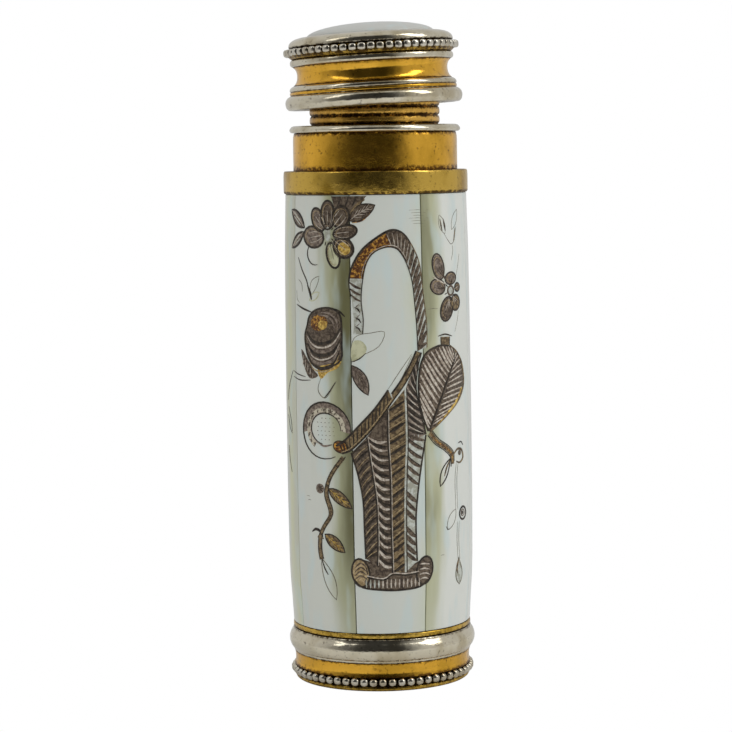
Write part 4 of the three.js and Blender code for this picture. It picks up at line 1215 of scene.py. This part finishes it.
def build_engraving():
    """Fine engraved lines that have lost their metal, a stained petal, and short cracks at a seam."""
    m = Motif()
    m.curve([(-9.9, 45.9), (-9.2, 44.6), (-8.4, 43.4), (-7.9, 41.8)], INK, 0.16, 0.04)
    m.curve([(-8.3, 43.0), (-7.9, 42.2), (-7.7, 41.5)], INK, 0.3, 0.045)
    m.loop(leaf((-7.8, 42.0), (-6.6, 44.0), 0.9, bend=0.2), ETCHED, 0.07, FAINT)
    m.loop(leaf((-8.0, 41.4), (-6.6, 42.3), 0.7), OLIVE, 0.12, 0.025)
    m.curve([(-9.9, 43.6), (-9.3, 43.1), (-9.2, 42.3)], ETCHED, 0.09, FAINT)
    m.curve([(-10.3, 42.4), (-10.2, 41.5), (-9.7, 41.1)], ETCHED, 0.07, FAINT)

    petal = [(-2.8, 35.1), (-1.6, 35.8), (0.1, 36.7), (0.7, 38.2), (-0.8, 38.1), (-2.0, 37.9), (-2.7, 37.2)]
    m.loop(smooth(petal, 3, loop=True), ETCHED, 0.07, FAINT)
    patch = [(-2.8, 35.2), (-1.5, 35.8), (-1.2, 36.6), (-1.8, 37.3), (-2.7, 37.1)]
    m.plate(smooth(patch, 3, loop=True), OLIVE)
    m.curve([(-2.8, 35.1), (-2.0, 35.4), (-1.3, 36.0)], INK, 0.12, 0.04)

    for base, tip in (((8.2, 48.2), (7.4, 50.2)), ((9.4, 48.6), (10.6, 50.7))):
        m.loop(leaf(base, tip, 0.9), ETCHED, 0.06, FAINT)
    for x in (7.5, 8.0):
        m.line([(x, 49.8), (x + 0.15, 49.1), (x + 0.3, 48.5)], UMBER, 0.2, 0.04)
    m.curve([(8.1, 48.2), (8.8, 47.4), (9.3, 47.1), (9.9, 47.6), (10.2, 48.9)], ETCHED, 0.07, FAINT)
    m.line([(9.7, 47.4), (9.9, 48.1), (10.1, 48.8)], BRONZE, 0.14, 0.04)
    m.curve([(9.4, 47.0), (9.5, 46.4), (9.2, 45.4)], ETCHED, 0.06, FAINT)
    for ends in (((10.8, 46.0), (9.9, 43.4)), ((10.4, 40.0), (9.6, 37.8)), ((5.6, 40.4), (6.9, 40.4))):
        a, b = (Vector(end) for end in ends)
        m.line([a, (a + b) / 2 + Vector((0.1, 0.05)), b], ETCHED, 0.06, FAINT)

    for points in (
        [(-11.2, 33.8), (-10.2, 33.5), (-8.8, 33.3)], [(-11.2, 33.2), (-9.8, 32.9), (-8.0, 33.0)],
        [(-11.4, 33.8), (-12.7, 32.0), (-13.2, 30.5)], [(-13.0, 29.8), (-12.2, 28.4), (-11.9, 27.2)],
        [(-13.2, 28.9), (-12.6, 27.6), (-11.9, 27.0)], [(-13.2, 25.6), (-12.8, 24.0), (-12.2, 22.8)],
    ):
        m.curve(points, INK, 0.12, 0.03)
    for k in range(6):
        reach = 0.5 + 0.25 * (k % 3)
        z = 49.4 + 0.28 * k
        m.line([(4.55 - reach, z), (4.6, z + 0.03), (4.7 + reach * 1.2, z - 0.02)], ETCHED, 0.05, 0.015)
    for x, z in ((-8.9, 20.6), (-8.7, 20.2), (6.9, 14.2)):
        m.line([(x, z), (x + 0.25, z + 0.04), (x + 0.5, z)], ETCHED, 0.06, 0.015)
    m.finish("engraving")


# ---- Camera, lights and floor ----
CAMERA_PLACE = (0, -0.2628, 0.0575)
CAMERA_LENS = 119.73
CAMERA_PITCH = math.radians(5.159)  # downwards
CAMERA_YAW = math.radians(0.29)
CAMERA_ROLL = math.radians(0.881)

LIGHT_TARGET = Vector((0, 0, 0.035))
LIGHT_DISTANCE = 0.5
FLOOR_SIZE = 0.6
PALE_ROOM = 0.57  # the lit part of the room, as the case sees it; the camera sees pure white
DARK_ROOM = 0.04  # the unlit part, which lies in front of the case and behind the camera


def build_camera():
    camera = bpy.data.objects.new("camera", bpy.data.cameras.new("camera"))
    bpy.context.scene.collection.objects.link(camera)
    camera.data.sensor_width = 36
    camera.data.lens = CAMERA_LENS
    camera.data.clip_start = 0.01
    camera.matrix_world = (
        Matrix.Translation(CAMERA_PLACE)
        @ Matrix.Rotation(CAMERA_YAW, 4, "Z")
        @ Matrix.Rotation(math.pi / 2 - CAMERA_PITCH, 4, "X")
        @ Matrix.Rotation(-CAMERA_ROLL, 4, "Z")
    )
    bpy.context.scene.camera = camera


def area(name, azimuth, elevation, size, power):
    """A soft box that looks at the case. azimuth is from the front towards +X, in degrees."""
    light = bpy.data.lights.new(name, "AREA")
    light.shape = "RECTANGLE"
    light.size, light.size_y = size
    light.energy = power
    made = bpy.data.objects.new(name, light)
    bpy.context.scene.collection.objects.link(made)
    turn, rise = math.radians(azimuth), math.radians(elevation)
    level = math.cos(rise)
    offset = LIGHT_DISTANCE * Vector((level * math.sin(turn), -level * math.cos(turn), math.sin(rise)))
    made.location = LIGHT_TARGET + offset
    made.rotation_euler = (-offset).to_track_quat("-Z", "Y").to_euler()
    made.visible_camera = False
    return made


def room_strength(room):
    """The room's brightness: pale all round, falling off to dark in front of the case."""
    way = room.node("ShaderNodeSeparateXYZ")
    room.link(room.node("ShaderNodeTexCoord").outputs["Generated"], way.inputs["Vector"])
    x, y, z = way.outputs
    right = room.calc("ARCTAN2", x, room.times(y, -1.0))
    left, down = room.times(right, -1.0), room.times(z, -1.0)
    shade = 1.0
    for value, full, gone in (
        (left, math.radians(25), math.radians(105)), (right, math.radians(22), math.radians(62)),
        (z, math.sin(math.radians(62)), math.sin(math.radians(84))), (down, 0.16, 0.3),
    ):
        shade = room.times(shade, room.ramp(value, full, gone, 1.0, 0.0))
    return room.calc("MULTIPLY_ADD", shade, DARK_ROOM - PALE_ROOM, PALE_ROOM)


def build_studio():
    """A white room, three soft boxes, and a floor that lights the case from below but is not seen."""
    world = bpy.data.worlds.new("studio")
    bpy.context.scene.world = world
    world.use_nodes = True
    room = Nodes(world.node_tree)
    background = world.node_tree.nodes["Background"]
    background.inputs["Color"].default_value = (1, 1, 1, 1)
    strength = room.node("ShaderNodeMapRange")
    room.link(room_strength(room), strength.inputs["To Min"])
    room.link(room.node("ShaderNodeLightPath").outputs["Is Camera Ray"], strength.inputs["Value"])
    room.link(strength.outputs["Result"], background.inputs["Strength"])
    bpy.context.scene.view_settings.view_transform = "Standard"

    bpy.ops.mesh.primitive_plane_add(size=FLOOR_SIZE)
    floor = bpy.context.object
    floor.name = "floor"
    s = Surface("floor", Roughness=0.9, Specular_IOR_Level=0.1)
    s.shader.inputs["Base Color"].default_value = (0.9, 0.9, 0.9, 1)
    floor.data.materials.append(s.material)
    floor.visible_camera = False

    area("soft_right", 74, 44, (0.15, 0.36), 0.55)
    area("soft_left", -64, 46, (0.10, 0.32), 0.13)
    fill = area("fill", -8, 24, (0.6, 0.5), 0.9)
    fill.visible_glossy = False


for build in (
    build_studio, build_camera, build_base, build_collar, build_neck, build_barrel, build_basket, build_foot,
    build_handle, build_plume, build_ring_loop, build_left_spray, build_right_spray, build_flower, build_bud,
    build_blossom, build_engraving, build_cap, build_inside,
):
    build()
